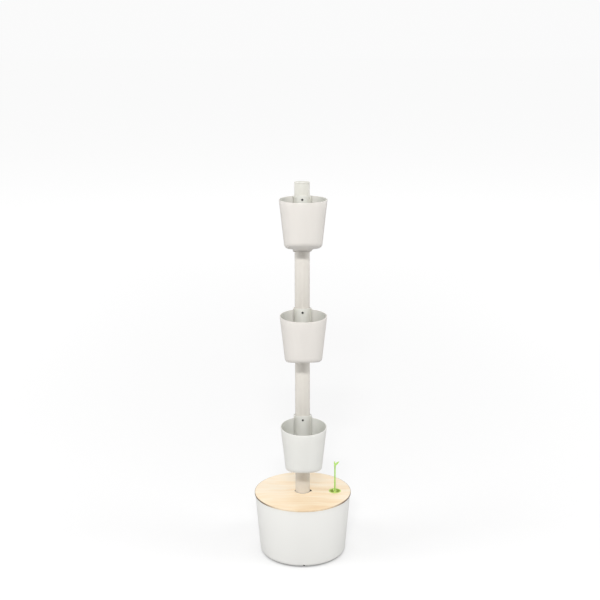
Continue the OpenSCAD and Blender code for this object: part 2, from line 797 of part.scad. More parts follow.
// Water is poured through the two openings beside the hub
module filler_guide() {
    color([0.55, 0.80, 0.22])
    translate([indicator_x, indicator_y, 0]) difference() {
        union() {
            translate([0, 0, guide_bottom]) difference() {
                cylinder(r = guide_ring_r, h = guide_h + hair);
                translate([0, 0, -cut])
                    cylinder(r = guide_ring_r - guide_wall, h = guide_h + 2 * cut);
            }
            translate([0, 0, lid_top]) difference() {
                cylinder(r = guide_r, h = guide_flange_t);
                translate([0, 0, -cut])
                    cylinder(r = guide_ring_r - guide_wall, h = guide_flange_t + 2 * cut);
            }
            translate([0, 0, guide_bottom]) cylinder(r = guide_hub_r, h = guide_top - guide_bottom);
            translate([
                -guide_spoke_w / 2, -guide_ring_r + guide_wall / 2, guide_top - guide_spoke_h
            ]) cube([guide_spoke_w, 2 * guide_ring_r - guide_wall, guide_spoke_h]);
        }
        translate([0, 0, guide_bottom - cut])
            cylinder(r = stem_r + running_gap, h = guide_top - guide_bottom + 2 * cut);
    }
}

module level_float() {
    color([0.95, 0.95, 0.93])
    translate([indicator_x, indicator_y, float_z]) rotate_extrude() polygon([
        [stem_r + seat_gap, 0], [float_r - float_chamfer, 0], [float_r, float_chamfer],
        [float_r, float_h - float_chamfer], [float_r - float_chamfer, float_h],
        [stem_r + seat_gap, float_h]
    ]);
}

module float_stem() {
    top = sprout_z + sprout_h - 1;
    color([0.52, 0.76, 0.24])
    translate([indicator_x, indicator_y, 0]) {
        translate([0, 0, stem_foot_z]) cylinder(r = stem_r, h = top - stem_foot_z);
        translate([0, 0, stem_foot_z]) cylinder(r = stem_collar_r, h = stem_collar_t);
        translate([0, 0, guide_bottom - free_gap - stem_collar_t])
            cylinder(r = stem_collar_r, h = stem_collar_t);
    }
}

// A leaf's outline: two arcs that meet in points at its base and its tip
module leaf(length, width) {
    arc_r = (pow(length / 2, 2) + pow(width / 2, 2)) / width;
    rotate([90, 0, 0]) translate([0, 0, -leaf_t / 2]) linear_extrude(leaf_t) intersection() {
        translate([arc_r - width / 2, length / 2]) circle(r = arc_r);
        translate([width / 2 - arc_r, length / 2]) circle(r = arc_r);
    }
}

module sprout() {
    base = sprout_h - 2.5;
    color([0.50, 0.78, 0.20])
    translate([indicator_x, indicator_y, sprout_z]) difference() {
        union() {
            cylinder(r = sprout_r, h = sprout_h);
            translate([0, 0, base]) rotate([0, leaf_lean, 0]) leaf(leaf_l, leaf_w);
            translate([0, 0, base]) rotate([0, -small_leaf_lean, 0])
                leaf(leaf_l * small_leaf, leaf_w * small_leaf);
        }
        translate([0, 0, -cut]) cylinder(r = stem_r + seat_gap, h = sprout_h);
    }
}

reservoir();
reservoir_feet();
tube_socket();
socket_screws();
tube_base();
tube_lower();
tube_upper();
tube_top();
tube_cap();
coupler_lower();
coupler_middle();
coupler_upper();
riser_hose_lower();
riser_hose_middle();
riser_hose_upper();
drip_tee_lower();
drip_tee_middle();
drip_elbow_upper();
drip_nozzle_lower();
drip_nozzle_middle();
drip_nozzle_upper();
pot_lower();
pot_middle();
pot_upper();
lid();
filler_guide();
level_float();
float_stem();
sprout();
pump_body();
pump_cover();
pump_impeller();
pump_shaft();
pump_cups();
pump_barb();
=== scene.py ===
import math

import bmesh
import bpy
import mathutils
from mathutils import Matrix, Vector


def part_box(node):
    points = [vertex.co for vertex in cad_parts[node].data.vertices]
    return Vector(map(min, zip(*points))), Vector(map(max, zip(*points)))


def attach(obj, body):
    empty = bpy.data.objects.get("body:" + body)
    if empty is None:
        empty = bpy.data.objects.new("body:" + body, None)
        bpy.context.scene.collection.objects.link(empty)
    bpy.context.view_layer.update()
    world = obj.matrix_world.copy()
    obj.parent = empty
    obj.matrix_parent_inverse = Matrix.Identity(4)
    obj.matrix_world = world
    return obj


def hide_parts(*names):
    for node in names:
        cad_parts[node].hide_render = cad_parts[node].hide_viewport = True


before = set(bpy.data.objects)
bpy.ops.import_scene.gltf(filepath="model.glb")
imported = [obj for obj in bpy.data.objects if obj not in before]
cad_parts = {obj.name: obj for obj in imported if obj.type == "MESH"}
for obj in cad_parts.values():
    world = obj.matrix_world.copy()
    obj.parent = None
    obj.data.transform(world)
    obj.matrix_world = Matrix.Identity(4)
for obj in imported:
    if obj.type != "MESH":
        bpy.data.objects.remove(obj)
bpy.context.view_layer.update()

bpy.ops.object.select_all(action="DESELECT")


# ---------------------------------------------------------------------------
# The room: a plain pale floor that runs out of sight under a soft white sky.
# A narrow lamp stands high in front, with wide ones beside, above and behind,
# and the camera in front of the tower looks a little down at it.
# ---------------------------------------------------------------------------

class Feed:
    """An output of a shader node, so that arithmetic on it adds the Math nodes by itself."""

    def __init__(self, socket):
        self.socket = socket

    def node(self, kind, settings, inputs, out=0):
        """Adds a node, makes its settings, and fills its sockets with values or with feeds."""
        node = self.socket.id_data.nodes.new("ShaderNode" + kind)
        for name, value in settings.items():
            if name != "stops":
                setattr(node, name, value)
                continue
            for i, (place, shade) in enumerate(value):
                stops = node.color_ramp.elements
                stop = stops[i] if i < 2 else stops.new(place)
                stop.position = place
                stop.color = (*shade, 1)
        for name, value in inputs.items():
            if isinstance(name, int):
                socket = node.inputs[name]
            else:
                socket = next(s for s in node.inputs if s.enabled and s.name == name)
            if isinstance(value, Feed):
                self.socket.id_data.links.new(value.socket, socket)
            else:
                socket.default_value = value
        if isinstance(out, int):
            return Feed([s for s in node.outputs if s.enabled][out])
        return Feed(node.outputs[out])

    def maths(self, operation, *values):
        return self.node("Math", {"operation": operation}, dict(enumerate(values)))

    def __add__(self, other):
        return self.maths("ADD", self, other)

    def __sub__(self, other):
        return self.maths("SUBTRACT", self, other)

    def __rsub__(self, other):
        return self.maths("SUBTRACT", other, self)

    def __mul__(self, other):
        return self.maths("MULTIPLY", self, other)

    def __truediv__(self, other):
        return self.maths("DIVIDE", self, other)

    def __rtruediv__(self, other):
        return self.maths("DIVIDE", other, self)

    __radd__ = __add__
    __rmul__ = __mul__

    def into(self, shader, name):
        """Links this feed to a socket of a shader."""
        self.socket.id_data.links.new(self.socket, shader.inputs[name])


scene = bpy.context.scene
scene.view_settings.view_transform = "Standard"


def colour_mix(share, first, second, blend="MIX"):
    """Blends a second colour into a first one as far as the share says."""
    first, second = (
        colour if isinstance(colour, Feed) else (*colour, 1) for colour in (first, second)
    )
    return share.node(
        "Mix", {"data_type": "RGBA", "blend_type": blend},
        {"Factor": share, "A": first, "B": second}
    )


def eased(value, start, end, first=0.0, last=1.0):
    """Turns a value that runs from start to end into one that eases from first to last."""
    return value.node("MapRange", {"interpolation_type": "SMOOTHSTEP"}, {
        "Value": value, "From Min": start, "From Max": end, "To Min": first, "To Max": last
    })


SKY_LIGHT = (0.44, 0.44, 0.44)
BACKDROP = (0.96, 0.96, 0.96)
BLACK = (0, 0, 0)
WHITE = (1, 1, 1)

world = bpy.data.worlds.new("studio_sky")
world.use_nodes = True
scene.world = world
sky = world.node_tree.nodes["Background"]
rays = world.node_tree.nodes.new("ShaderNodeLightPath").outputs
seen = Feed(rays["Is Camera Ray"])
for kind in ("Is Glossy Ray", "Is Transmission Ray"):
    seen = seen.maths("MAXIMUM", seen, Feed(rays[kind]))
colour_mix(seen, SKY_LIGHT, BACKDROP).into(sky, "Color")

# The floor is lifted to white for the camera alone, except in the tank's contact shadow.
FLOOR_SIZE = 400
FLOOR_SHADE = 0.57
FLOOR_GLOSS = 0.9
NEAR_FLOOR_LIFT = 0.355
FAR_FLOOR_LIFT = 0.705
LIFT_START = -1.2
LIFT_END = 8.0
UNDER_TANK_R = 0.130
TANK_SHADE_R = 0.151
bpy.ops.mesh.primitive_plane_add(size=FLOOR_SIZE)
floor = bpy.context.active_object
floor.name = "studio_floor"
floor_paint = bpy.data.materials.new("studio_floor")
floor_paint.use_nodes = True
floor.data.materials.append(floor_paint)
tree = floor_paint.node_tree
paper = tree.nodes["Principled BSDF"]
paper.inputs["Base Color"].default_value = (FLOOR_SHADE, FLOOR_SHADE, FLOOR_SHADE, 1)
paper.inputs["Roughness"].default_value = FLOOR_GLOSS
paper.inputs["Specular IOR Level"].default_value = 0.0
paper.inputs["Emission Strength"].default_value = 1.0
floor_ray = Feed(tree.nodes.new("ShaderNodeLightPath").outputs["Is Camera Ray"])
floor_place = Feed(tree.nodes.new("ShaderNodeTexCoord").outputs["Object"])
floor_r = floor_place.node("VectorMath", {"operation": "LENGTH"}, {0: floor_place})
lift = eased(floor_r, LIFT_START, LIFT_END, NEAR_FLOOR_LIFT, FAR_FLOOR_LIFT)
beside_tank = eased(floor_r, UNDER_TANK_R, TANK_SHADE_R)
colour_mix(floor_ray * lift * beside_tank, BLACK, WHITE).into(paper, "Emission Color")


def softbox(name, place, aim_z, width, height, watts):
    """An oblong lamp that faces a point on the tower's axis."""
    bpy.ops.object.light_add(type="AREA", location=place)
    lamp = bpy.context.active_object
    lamp.name = name
    lamp.data.shape = "RECTANGLE"
    lamp.data.size = width
    lamp.data.size_y = height
    lamp.data.energy = watts
    x, y, z = place
    lamp.rotation_euler = (
        math.atan2(math.hypot(x, y), z - aim_z), 0, math.atan2(y, x) + math.pi / 2
    )


softbox("front_lamp", (-0.25, -4.3, 2.85), aim_z=0.4, width=1.0, height=0.16, watts=109)
softbox("left_lamp", (-4.2, -0.6, 1.4), aim_z=0.6, width=2.0, height=2.5, watts=33.5)
softbox("right_lamp", (4.2, -0.6, 1.4), aim_z=0.6, width=2.0, height=2.5, watts=29.5)
softbox("back_left_lamp", (-3.9, 3.4, 0.9), aim_z=0.6, width=1.6, height=1.6, watts=17)
softbox("back_right_lamp", (3.9, 3.4, 0.9), aim_z=0.6, width=1.6, height=1.6, watts=17)
softbox("top_lamp", (0, 0, 8), aim_z=0, width=3.0, height=3.0, watts=112)
softbox("high_left_lamp", (-4.5, -2.0, 6.5), aim_z=0.3, width=2.5, height=2.5, watts=70)
softbox("high_right_lamp", (4.5, -2.0, 6.5), aim_z=0.3, width=2.5, height=2.5, watts=64)

CAMERA_AWAY = 3.413
CAMERA_UP = 1.704
CAMERA_TURN = math.radians(1.4)
CAMERA_DIP = math.radians(13.35)
CAMERA_ROLL = math.radians(-0.17)
AXIS_LEFT = 0.0075
SENSOR_WIDTH = 36
LENS = 63.5

camera_x = -CAMERA_AWAY * math.sin(CAMERA_TURN) - AXIS_LEFT * math.cos(CAMERA_TURN)
camera_y = -CAMERA_AWAY * math.cos(CAMERA_TURN) + AXIS_LEFT * math.sin(CAMERA_TURN)
bpy.ops.object.camera_add(location=(camera_x, camera_y, CAMERA_UP))
camera = bpy.context.active_object
view = mathutils.Matrix.Rotation(-CAMERA_TURN, 4, "Z")
view = view @ mathutils.Matrix.Rotation(math.pi / 2 - CAMERA_DIP, 4, "X")
view = view @ mathutils.Matrix.Rotation(CAMERA_ROLL, 4, "Z")
camera.rotation_euler = view.to_euler()
camera.data.sensor_width = SENSOR_WIDTH
camera.data.lens = LENS
scene.camera = camera


# ---------------------------------------------------------------------------
# The water tank: a round tub of off-white polypropylene, moulded in one piece
# with a rounded lower edge, a pad inside for the tube's socket, pockets below
# for the feet, and a small blind hole at the front of the lower edge.
# ---------------------------------------------------------------------------

def add_piece(name):
    """Takes the primitive that was just added as a new piece, open in edit mode."""
    piece = bpy.context.active_object
    piece.name = piece.data.name = name
    bpy.ops.object.transform_apply(location=True, rotation=True, scale=True)
    bpy.ops.object.mode_set(mode="EDIT")
    bpy.ops.mesh.select_all(action="DESELECT")
    return piece


def pick_faces(piece, test):
    """Selects the faces whose middle and normal pass the test."""
    bpy.ops.mesh.select_mode(type="FACE")
    bpy.ops.mesh.select_all(action="DESELECT")
    shape = bmesh.from_edit_mesh(piece.data)
    for face in shape.faces:
        face.select_set(bool(test(face.calc_center_median(), face.normal)))
    bmesh.update_edit_mesh(piece.data)


def pick_edges(piece, test):
    """Selects the edges whose two ends pass the test."""
    bpy.ops.mesh.select_mode(type="EDGE")
    bpy.ops.mesh.select_all(action="DESELECT")
    shape = bmesh.from_edit_mesh(piece.data)
    for edge in shape.edges:
        edge.select_set(all(test(end.co) for end in edge.verts))
    bmesh.update_edit_mesh(piece.data)


def pick_points(piece, test):
    """Selects the points that pass the test."""
    bpy.ops.mesh.select_mode(type="VERT")
    bpy.ops.mesh.select_all(action="DESELECT")
    shape = bmesh.from_edit_mesh(piece.data)
    for point in shape.verts:
        point.select_set(bool(test(point.co)))
    bmesh.update_edit_mesh(piece.data)


def from_axis(point, centre=(0, 0)):
    """Distance of a point from an upright axis."""
    return math.hypot(point[0] - centre[0], point[1] - centre[1])


def meets(one, other, slack=1e-5):
    """Whether two lengths are the same, but for rounding."""
    return abs(one - other) < slack


def looks_up(middle, normal):
    return normal.z > 0.9


def looks_down(middle, normal):
    return normal.z < -0.9


def round_edges(piece, test, radius, steps):
    """Bevels the edges that pass the test."""
    pick_edges(piece, test)
    bpy.ops.mesh.bevel(offset=radius, segments=steps, affect="EDGES", clamp_overlap=False)


def push_faces(move, scale=1.0):
    """Extrudes what is selected by a move, and scales it across about the tower's axis."""
    bpy.ops.mesh.extrude_region_move(TRANSFORM_OT_translate={"value": move})
    if scale != 1.0:
        bpy.ops.transform.resize(value=(scale, scale, 1), center_override=(0, 0, 0))


def join_solid(piece, other, operation):
    """Unites a piece with another solid, or cuts the other solid out of it."""
    modifier = piece.modifiers.new("join", "BOOLEAN")
    modifier.operation = operation
    modifier.object = other
    bpy.ops.object.select_all(action="DESELECT")
    bpy.context.view_layer.objects.active = piece
    bpy.ops.object.modifier_apply(modifier=modifier.name)
    bpy.data.objects.remove(other)


def rod(radius, start, length, axis=(0, 0, 1), sides=48):
    """A plain round bar from a point along X, -Y or Z, for uniting with a piece or cutting it."""
    turn = {(1, 0, 0): (0, math.pi / 2, 0), (0, -1, 0): (math.pi / 2, 0, 0)}.get(axis, (0, 0, 0))
    middle = [start[i] + axis[i] * length / 2 for i in range(3)]
    bpy.ops.mesh.primitive_cylinder_add(
        vertices=sides, radius=radius, depth=length, location=middle, rotation=turn
    )
    return bpy.context.active_object


def bore(piece, radius, start, length, axis=(0, 0, 1), sides=48):
    """Drills a round hole into a piece from a point along X, -Y or Z."""
    join_solid(piece, rod(radius, start, length, axis, sides), "DIFFERENCE")


def block(centre, size, turn=0):
    """A plain box, turned about Z, for uniting with a piece or cutting it."""
    bpy.ops.mesh.primitive_cube_add(size=1, location=centre, rotation=(0, 0, turn), scale=size)
    return bpy.context.active_object


def mark_faces(piece, mark, share):
    """Marks how much each face belongs to a part of the piece that takes painted shade or painted
    light.
    """
    marks = piece.data.attributes.new(mark, "FLOAT", "FACE")
    for face in piece.data.polygons:
        marks.data[face.index].value = float(share(face.center, face.normal))


def settle(piece, material, body, node, crease=35):
    """Closes a finished piece, gives it its finish, and seats it in place of its node."""
    if bpy.context.mode != "OBJECT":
        bpy.ops.object.mode_set(mode="OBJECT")
    piece.data.materials.clear()
    piece.data.materials.append(material)
    bpy.ops.object.select_all(action="DESELECT")
    piece.select_set(True)
    bpy.context.view_layer.objects.active = piece
    bpy.ops.object.transform_apply(location=True, rotation=True, scale=True)
    bpy.ops.object.shade_smooth_by_angle(angle=math.radians(crease))
    piece.select_set(False)
    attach(piece, body)
    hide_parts(node)


def new_finish(name):
    """A new material: itself, its shader, and a feed of the place on the piece in metres."""
    material = bpy.data.materials.new(name)
    material.use_nodes = True
    tree = material.node_tree
    place = Feed(tree.nodes.new("ShaderNodeTexCoord").outputs["Object"])
    return material, tree.nodes["Principled BSDF"], place


def noise(place, scale, detail, roughness=0.5):
    """Soft random clouds over a piece: the greater the scale, the smaller they are."""
    return place.node("TexNoise", {}, {
        "Vector": place, "Scale": scale, "Detail": detail, "Roughness": roughness
    })


def drawn_out(place, stretch):
    """A feed of the place that makes a pattern finer or coarser along X, Y and Z."""
    return place.node("VectorMath", {"operation": "MULTIPLY"}, {0: place, 1: stretch})


def emboss(shader, height, strength, depth):
    """Gives a shader a relief of that depth in metres from a feed of heights."""
    height.node(
        "Bump", {}, {"Strength": strength, "Distance": depth, "Height": height}
    ).into(shader, "Normal")


CLOUD_TINT = 0.10
GRAIN_TINT = 0.05
DARKEST = 0.90
LIGHTEST = 1.08
WAVE_SHEEN = 0.12
GRAIN_SHEEN = 0.10


def moulded(name, shade, roughness, stretch=(1, 1, 1), relief=0.00003, **casts):
    """Moulded plastic: faintly cloudy, with a fine grain and an uneven sheen. Each cast is a
    colour that is multiplied into the faces with the mark of its name, as painted shade or
    painted light."""
    material, shader, place = new_finish(name)
    place = drawn_out(place, stretch)
    cloud = noise(place, scale=9, detail=3, roughness=0.6)
    grain = noise(place, scale=900, detail=2)
    wave = noise(place, scale=30, detail=1)
    tint = (cloud - 0.5) * CLOUD_TINT + (grain - 0.5) * GRAIN_TINT + 0.5
    darkest = tuple(c * DARKEST for c in shade)
    lightest = tuple(min(1, c * LIGHTEST) for c in shade)
    tone = colour_mix(tint, darkest, lightest)
    for mark, cast in casts.items():
        share = place.node("Attribute", {"attribute_name": mark}, {}, "Fac")
        tone = colour_mix(share, tone, cast, "MULTIPLY")
    tone.into(shader, "Base Color")
    sheen = (wave - 0.5) * WAVE_SHEEN + (grain - 0.5) * GRAIN_SHEEN
    (sheen + roughness).into(shader, "Roughness")
    emboss(shader, wave * 0.4 + grain * 0.6, strength=0.5, depth=relief)
    return material


tank_low, tank_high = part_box("reservoir")
socket_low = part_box("tube_socket")[0]
TANK_FOOT = tank_low.z
TANK_RIM = tank_high.z
TANK_RIM_R = tank_high.x
TANK_FOOT_R = 0.1465
TANK_WALL = 0.0035
TANK_FLOOR = 0.004
TANK_EDGE_R = 0.012
TANK_RIM_EDGE_R = 0.0008
PAD_TOP = socket_low.z
PAD_R = 0.048
BEYOND_PAD = 0.01
FOOT_R = 0.009
CENTRE_FOOT_R = 0.020
FOOT_CIRCLE_R = 0.118
FOOT_POCKET = 0.001
FOOT_FIT = 0.0003
POCKET_START = 0.002
BLIND_HOLE_R = 0.0032
BLIND_HOLE_UP = 0.005
BLIND_HOLE_DEPTH = 0.008
BLIND_HOLE_START = 0.003
BLIND_HOLE_SLACK = 0.0001
SKIN_SLACK = 0.001
BOSS_T = 0.0025
BOSS_START = 0.003

# The faces lining the blind hole are multiplied almost to black: painted shade in the hole.
tank_paint = moulded(
    "tank_polypropylene", (0.845, 0.84, 0.81), roughness=0.36, inside=(0.03, 0.03, 0.03)
)

tank_depth = TANK_RIM - TANK_FOOT
tank_lean = (TANK_RIM_R - TANK_FOOT_R) / tank_depth
bpy.ops.mesh.primitive_cone_add(
    vertices=192, radius1=TANK_FOOT_R, radius2=TANK_RIM_R, depth=tank_depth,
    location=(0, 0, TANK_FOOT + tank_depth / 2)
)
tank = add_piece("tank")
pick_faces(tank, looks_up)
bpy.ops.mesh.inset(thickness=TANK_WALL)
hollow = tank_depth - TANK_FLOOR
inner_rim_r = TANK_RIM_R - TANK_WALL
push_faces((0, 0, -hollow), (inner_rim_r - hollow * tank_lean) / inner_rim_r)
bpy.ops.mesh.inset(thickness=inner_rim_r - hollow * tank_lean - PAD_R)
push_faces((0, 0, PAD_TOP - TANK_FOOT - TANK_FLOOR))
round_edges(tank, lambda p: meets(p.z, TANK_FOOT), TANK_EDGE_R, steps=8)
round_edges(
    tank,
    lambda p: meets(p.z, TANK_FOOT + TANK_FLOOR) and from_axis(p) > PAD_R + BEYOND_PAD,
    TANK_EDGE_R - TANK_WALL, steps=6
)
round_edges(tank, lambda p: meets(p.z, TANK_RIM), TANK_RIM_EDGE_R, steps=3)
bpy.ops.object.mode_set(mode="OBJECT")

foot_places = [(0, 0, CENTRE_FOOT_R)] + [
    (FOOT_CIRCLE_R * math.cos(turn), FOOT_CIRCLE_R * math.sin(turn), FOOT_R)
    for turn in (0, math.pi / 2, math.pi, math.pi * 3 / 2)
]
for x, y, radius in foot_places:
    bore(tank, radius + FOOT_FIT, (x, y, TANK_FOOT - POCKET_START), POCKET_START + FOOT_POCKET)

skin_y = TANK_EDGE_R - TANK_FOOT_R - math.sqrt(
    TANK_EDGE_R ** 2 - (TANK_EDGE_R - BLIND_HOLE_UP) ** 2
)
hole_z = TANK_FOOT + BLIND_HOLE_UP
hole_end = skin_y + BLIND_HOLE_DEPTH
boss_end = hole_end + BOSS_T
boss_high = BLIND_HOLE_UP + BLIND_HOLE_R + BOSS_T - TANK_FLOOR / 2
boss = block(
    (0, (skin_y + BOSS_START + boss_end) / 2, TANK_FOOT + TANK_FLOOR / 2 + boss_high / 2),
    (2 * (BLIND_HOLE_R + BOSS_T), boss_end - skin_y - BOSS_START, boss_high)
)
join_solid(tank, boss, "UNION")
bore(tank, BLIND_HOLE_R, (0, hole_end, hole_z), BLIND_HOLE_DEPTH + BLIND_HOLE_START, (0, -1, 0))


def in_blind_hole(middle, normal):
    """Whether a face of the tank lines the blind hole."""
    off_centre = math.hypot(middle.x, middle.z - hole_z)
    return (
        off_centre < BLIND_HOLE_R + BLIND_HOLE_SLACK
        and skin_y - SKIN_SLACK < middle.y < hole_end + BLIND_HOLE_SLACK
    )


# The lining of the blind hole is marked for its painted shade.
mark_faces(tank, "inside", in_blind_hole)
settle(tank, tank_paint, "tower", "reservoir")


# ---------------------------------------------------------------------------
# The feet: four small discs of black rubber near the tank's edge and a larger
# one under the tube, pressed into their pockets, each with a rounded rim and a
# hollow in its sole so that it grips a smooth floor.
# ---------------------------------------------------------------------------

DUSTIER = 2.2


def rubber(name, shade):
    """Soft black rubber: a dull, slightly dusty skin with a fine pebbled relief."""
    material, shader, place = new_finish(name)
    dust = noise(place, scale=60, detail=4)
    pebble = place.node("TexVoronoi", {}, {"Vector": place, "Scale": 1600})
    dusty = tuple(c * DUSTIER for c in shade)
    colour_mix(dust * 0.6, shade, dusty).into(shader, "Base Color")
    (dust * 0.2 + 0.6).into(shader, "Roughness")
    emboss(shader, pebble, strength=0.4, depth=0.00005)
    return material


SOLE_RING = 0.3
SOLE_DISH = 0.0006
SOLE_EDGE_R = 0.0005

foot_rubber = rubber("foot_rubber", (0.02, 0.02, 0.02))
feet_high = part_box("reservoir_feet")[1].z
feet = []
for number, (x, y, radius) in enumerate(foot_places):
    bpy.ops.mesh.primitive_cylinder_add(
        vertices=64, radius=radius, depth=feet_high, location=(x, y, feet_high / 2)
    )
    foot = add_piece("foot_" + str(number))
    pick_faces(foot, looks_down)
    bpy.ops.mesh.inset(thickness=radius * SOLE_RING)
    push_faces((0, 0, SOLE_DISH))
    round_edges(
        foot, lambda p: meets(p.z, 0) and meets(from_axis(p, (x, y)), radius), SOLE_EDGE_R,
        steps=3
    )
    bpy.ops.object.mode_set(mode="OBJECT")
    feet.append(foot)
bpy.ops.object.select_all(action="DESELECT")
for foot in feet:
    foot.select_set(True)
bpy.context.view_layer.objects.active = feet[0]
bpy.ops.object.join()
feet[0].name = feet[0].data.name = "feet"
settle(feet[0], foot_rubber, "tower", "reservoir_feet")


# ---------------------------------------------------------------------------
# The tube: four lengths of warm grey extruded pipe, stacked on the couplers so
# that each joint is hidden in a pot. The upper three have a small hole for the
# spout that feeds a pot, and the lowest has one for the hose from the pump.
# ---------------------------------------------------------------------------

TUBE_R = 0.025
TUBE_WALL = 0.0025
TUBE_EDGE_R = 0.0003
SPOUT_HOLE_R = 0.0024
SPOUT_DRILL = 0.04
HOSE_HOLE_R = 0.0065
HOSE_LEVEL = 0.120
DRILL_START = 0.01
NOZZLE_DROP = 0.016
pot_nodes = ["pot_lower", "pot_middle", "pot_upper"]
rims = [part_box(node)[1].z for node in pot_nodes]

# The top length is of a slightly cooler batch of pipe; the lowest is painted darker all over, as
# painted shade between the lid and the lowest pot.
ALONG_PIPE = (1, 1, 0.08)
tube_paint = moulded("tube_plastic", (0.755, 0.72, 0.662), roughness=0.46, stretch=ALONG_PIPE)
foot_painted_shade_paint = moulded("tube_plastic_foot_painted_shade", (0.645, 0.60, 0.53), roughness=0.38, stretch=ALONG_PIPE)
top_paint = moulded("tube_plastic_top", (0.71, 0.70, 0.64), roughness=0.50, stretch=ALONG_PIPE)


def tube_length(node, paint, *hole):
    """One length of pipe in the place of its node, with broken ends and the hole it needs."""
    low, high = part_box(node)
    length = high.z - low.z
    bpy.ops.mesh.primitive_cylinder_add(
        vertices=96, radius=TUBE_R, depth=length, location=(0, 0, low.z + length / 2)
    )
    pipe = add_piece(node + "_pipe")
    pick_faces(pipe, lambda middle, normal: abs(normal.z) > 0.9)
    bpy.ops.mesh.inset(thickness=TUBE_WALL)
    bpy.ops.mesh.bridge_edge_loops()
    for end in (low.z, high.z):
        round_edges(pipe, lambda p: meets(p.z, end), TUBE_EDGE_R, steps=2)
    bpy.ops.object.mode_set(mode="OBJECT")
    bore(pipe, *hole)
    settle(pipe, paint, "tower", node)


tube_length(
    "tube_base", foot_painted_shade_paint,
    HOSE_HOLE_R, (-TUBE_R - DRILL_START, 0, HOSE_LEVEL), 2 * DRILL_START, (1, 0, 0)
)
for node, rim, paint in zip(
    ["tube_lower", "tube_upper", "tube_top"], rims, [tube_paint, tube_paint, top_paint]
):
    tube_length(node, paint, SPOUT_HOLE_R, (0, 0, rim - NOZZLE_DROP), SPOUT_DRILL, (0, -1, 0))


# ---------------------------------------------------------------------------
# The cap: a flat disc of the same plastic with a softly rounded rim and a
# hollow plug, pushed into the top of the tube to keep rain and light out of
# the water line.
# ---------------------------------------------------------------------------

cap_low, cap_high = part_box("tube_cap")
CAP_T = 0.0025
CAP_R = cap_high.x
CAP_EDGE_R = 0.0012
PLUG_R = 0.02245
PLUG_WALL = 0.0025
bpy.ops.mesh.primitive_cylinder_add(
    vertices=96, radius=CAP_R, depth=CAP_T, location=(0, 0, cap_high.z - CAP_T / 2)
)
cap = add_piece("cap")
pick_faces(cap, looks_down)
bpy.ops.mesh.inset(thickness=CAP_R - PLUG_R)
push_faces((0, 0, cap_low.z - cap_high.z + CAP_T))
bpy.ops.mesh.inset(thickness=PLUG_WALL)
push_faces((0, 0, cap_high.z - CAP_T - cap_low.z))
round_edges(cap, lambda p: meets(p.z, cap_high.z), CAP_EDGE_R, steps=4)
settle(cap, top_paint, "tower", "tube_cap")


# ---------------------------------------------------------------------------
# The pots: three alike oval cups of warm grey plastic. Each is moulded in one
# with a neck and a sleeve that turns on the tube. The wall draws in downwards,
# and the underside slopes to the tube so that water runs back to the drains.
# ---------------------------------------------------------------------------

# A pot is laid out with its rim at 0, the tube's axis through 0, 0 and its front towards -Y.
POT_HALF_WIDTH = 0.076
POT_HALF_DEPTH = 0.091
POT_REACH = 0.132
POT_FRONT_H = 0.1355
POT_DRAFT = 0.0168
POT_SLOPE = math.radians(14.9)
POT_WALL = 0.003
POT_EDGE_R = 0.012
SLEEVE_R = 0.0305
NECK_HALF_WIDTH = 0.033
NECK_END = 0.0918
NECK_WALL = 0.0025
NECK_EDGE_R = 0.0015
NECK_FALL = math.radians(7)
NECK_START = 0.049
NECK_EASE = 0.012
BLEND_R = 0.012
CREASE_FILL = 0.004
RIM_R = 0.0012
BORE_CHAMFER = 0.0005
JOURNAL_R = 0.02728
WIDE_BORE_R = 0.0289
SHOULDER_DROP = 0.130
POT_MEAN_H = 0.153
ARC_STEPS = 10
SHORT_STEPS = 2
NECK_STEPS = 5
BLEND_STEPS = 8
OVAL_STEPS = 32
FRONT_STEPS = 12
ROUND_STEPS = 5
SEARCH_STEPS = 40

POT_FOOT_FRONT = POT_REACH + POT_HALF_DEPTH - POT_DRAFT
NECK_LEAN = (NECK_HALF_WIDTH - SLEEVE_R) / NECK_END


def top_z(y):
    """Height of the pot's upper edge below its rim: level at the front, falling at the neck."""
    run = y + NECK_START
    if abs(run) < NECK_EASE:
        run = (run + NECK_EASE) ** 2 / (4 * NECK_EASE)
    return -max(0, run) * math.tan(NECK_FALL)


def foot_z(y):
    """Height of the pot's sloping underside below its rim."""
    return -POT_FRONT_H - (y + POT_FOOT_FRONT) * math.tan(POT_SLOPE)


def crease_y(neck_inset, edge):
    """Where the neck's inner face meets the front of the sleeve."""
    wide, radius, k = SLEEVE_R - neck_inset - edge, SLEEVE_R + edge, NECK_LEAN
    root = math.sqrt((wide * k) ** 2 - (1 + k * k) * (wide * wide - radius * radius))
    return (wide * k - root) / (1 + k * k)


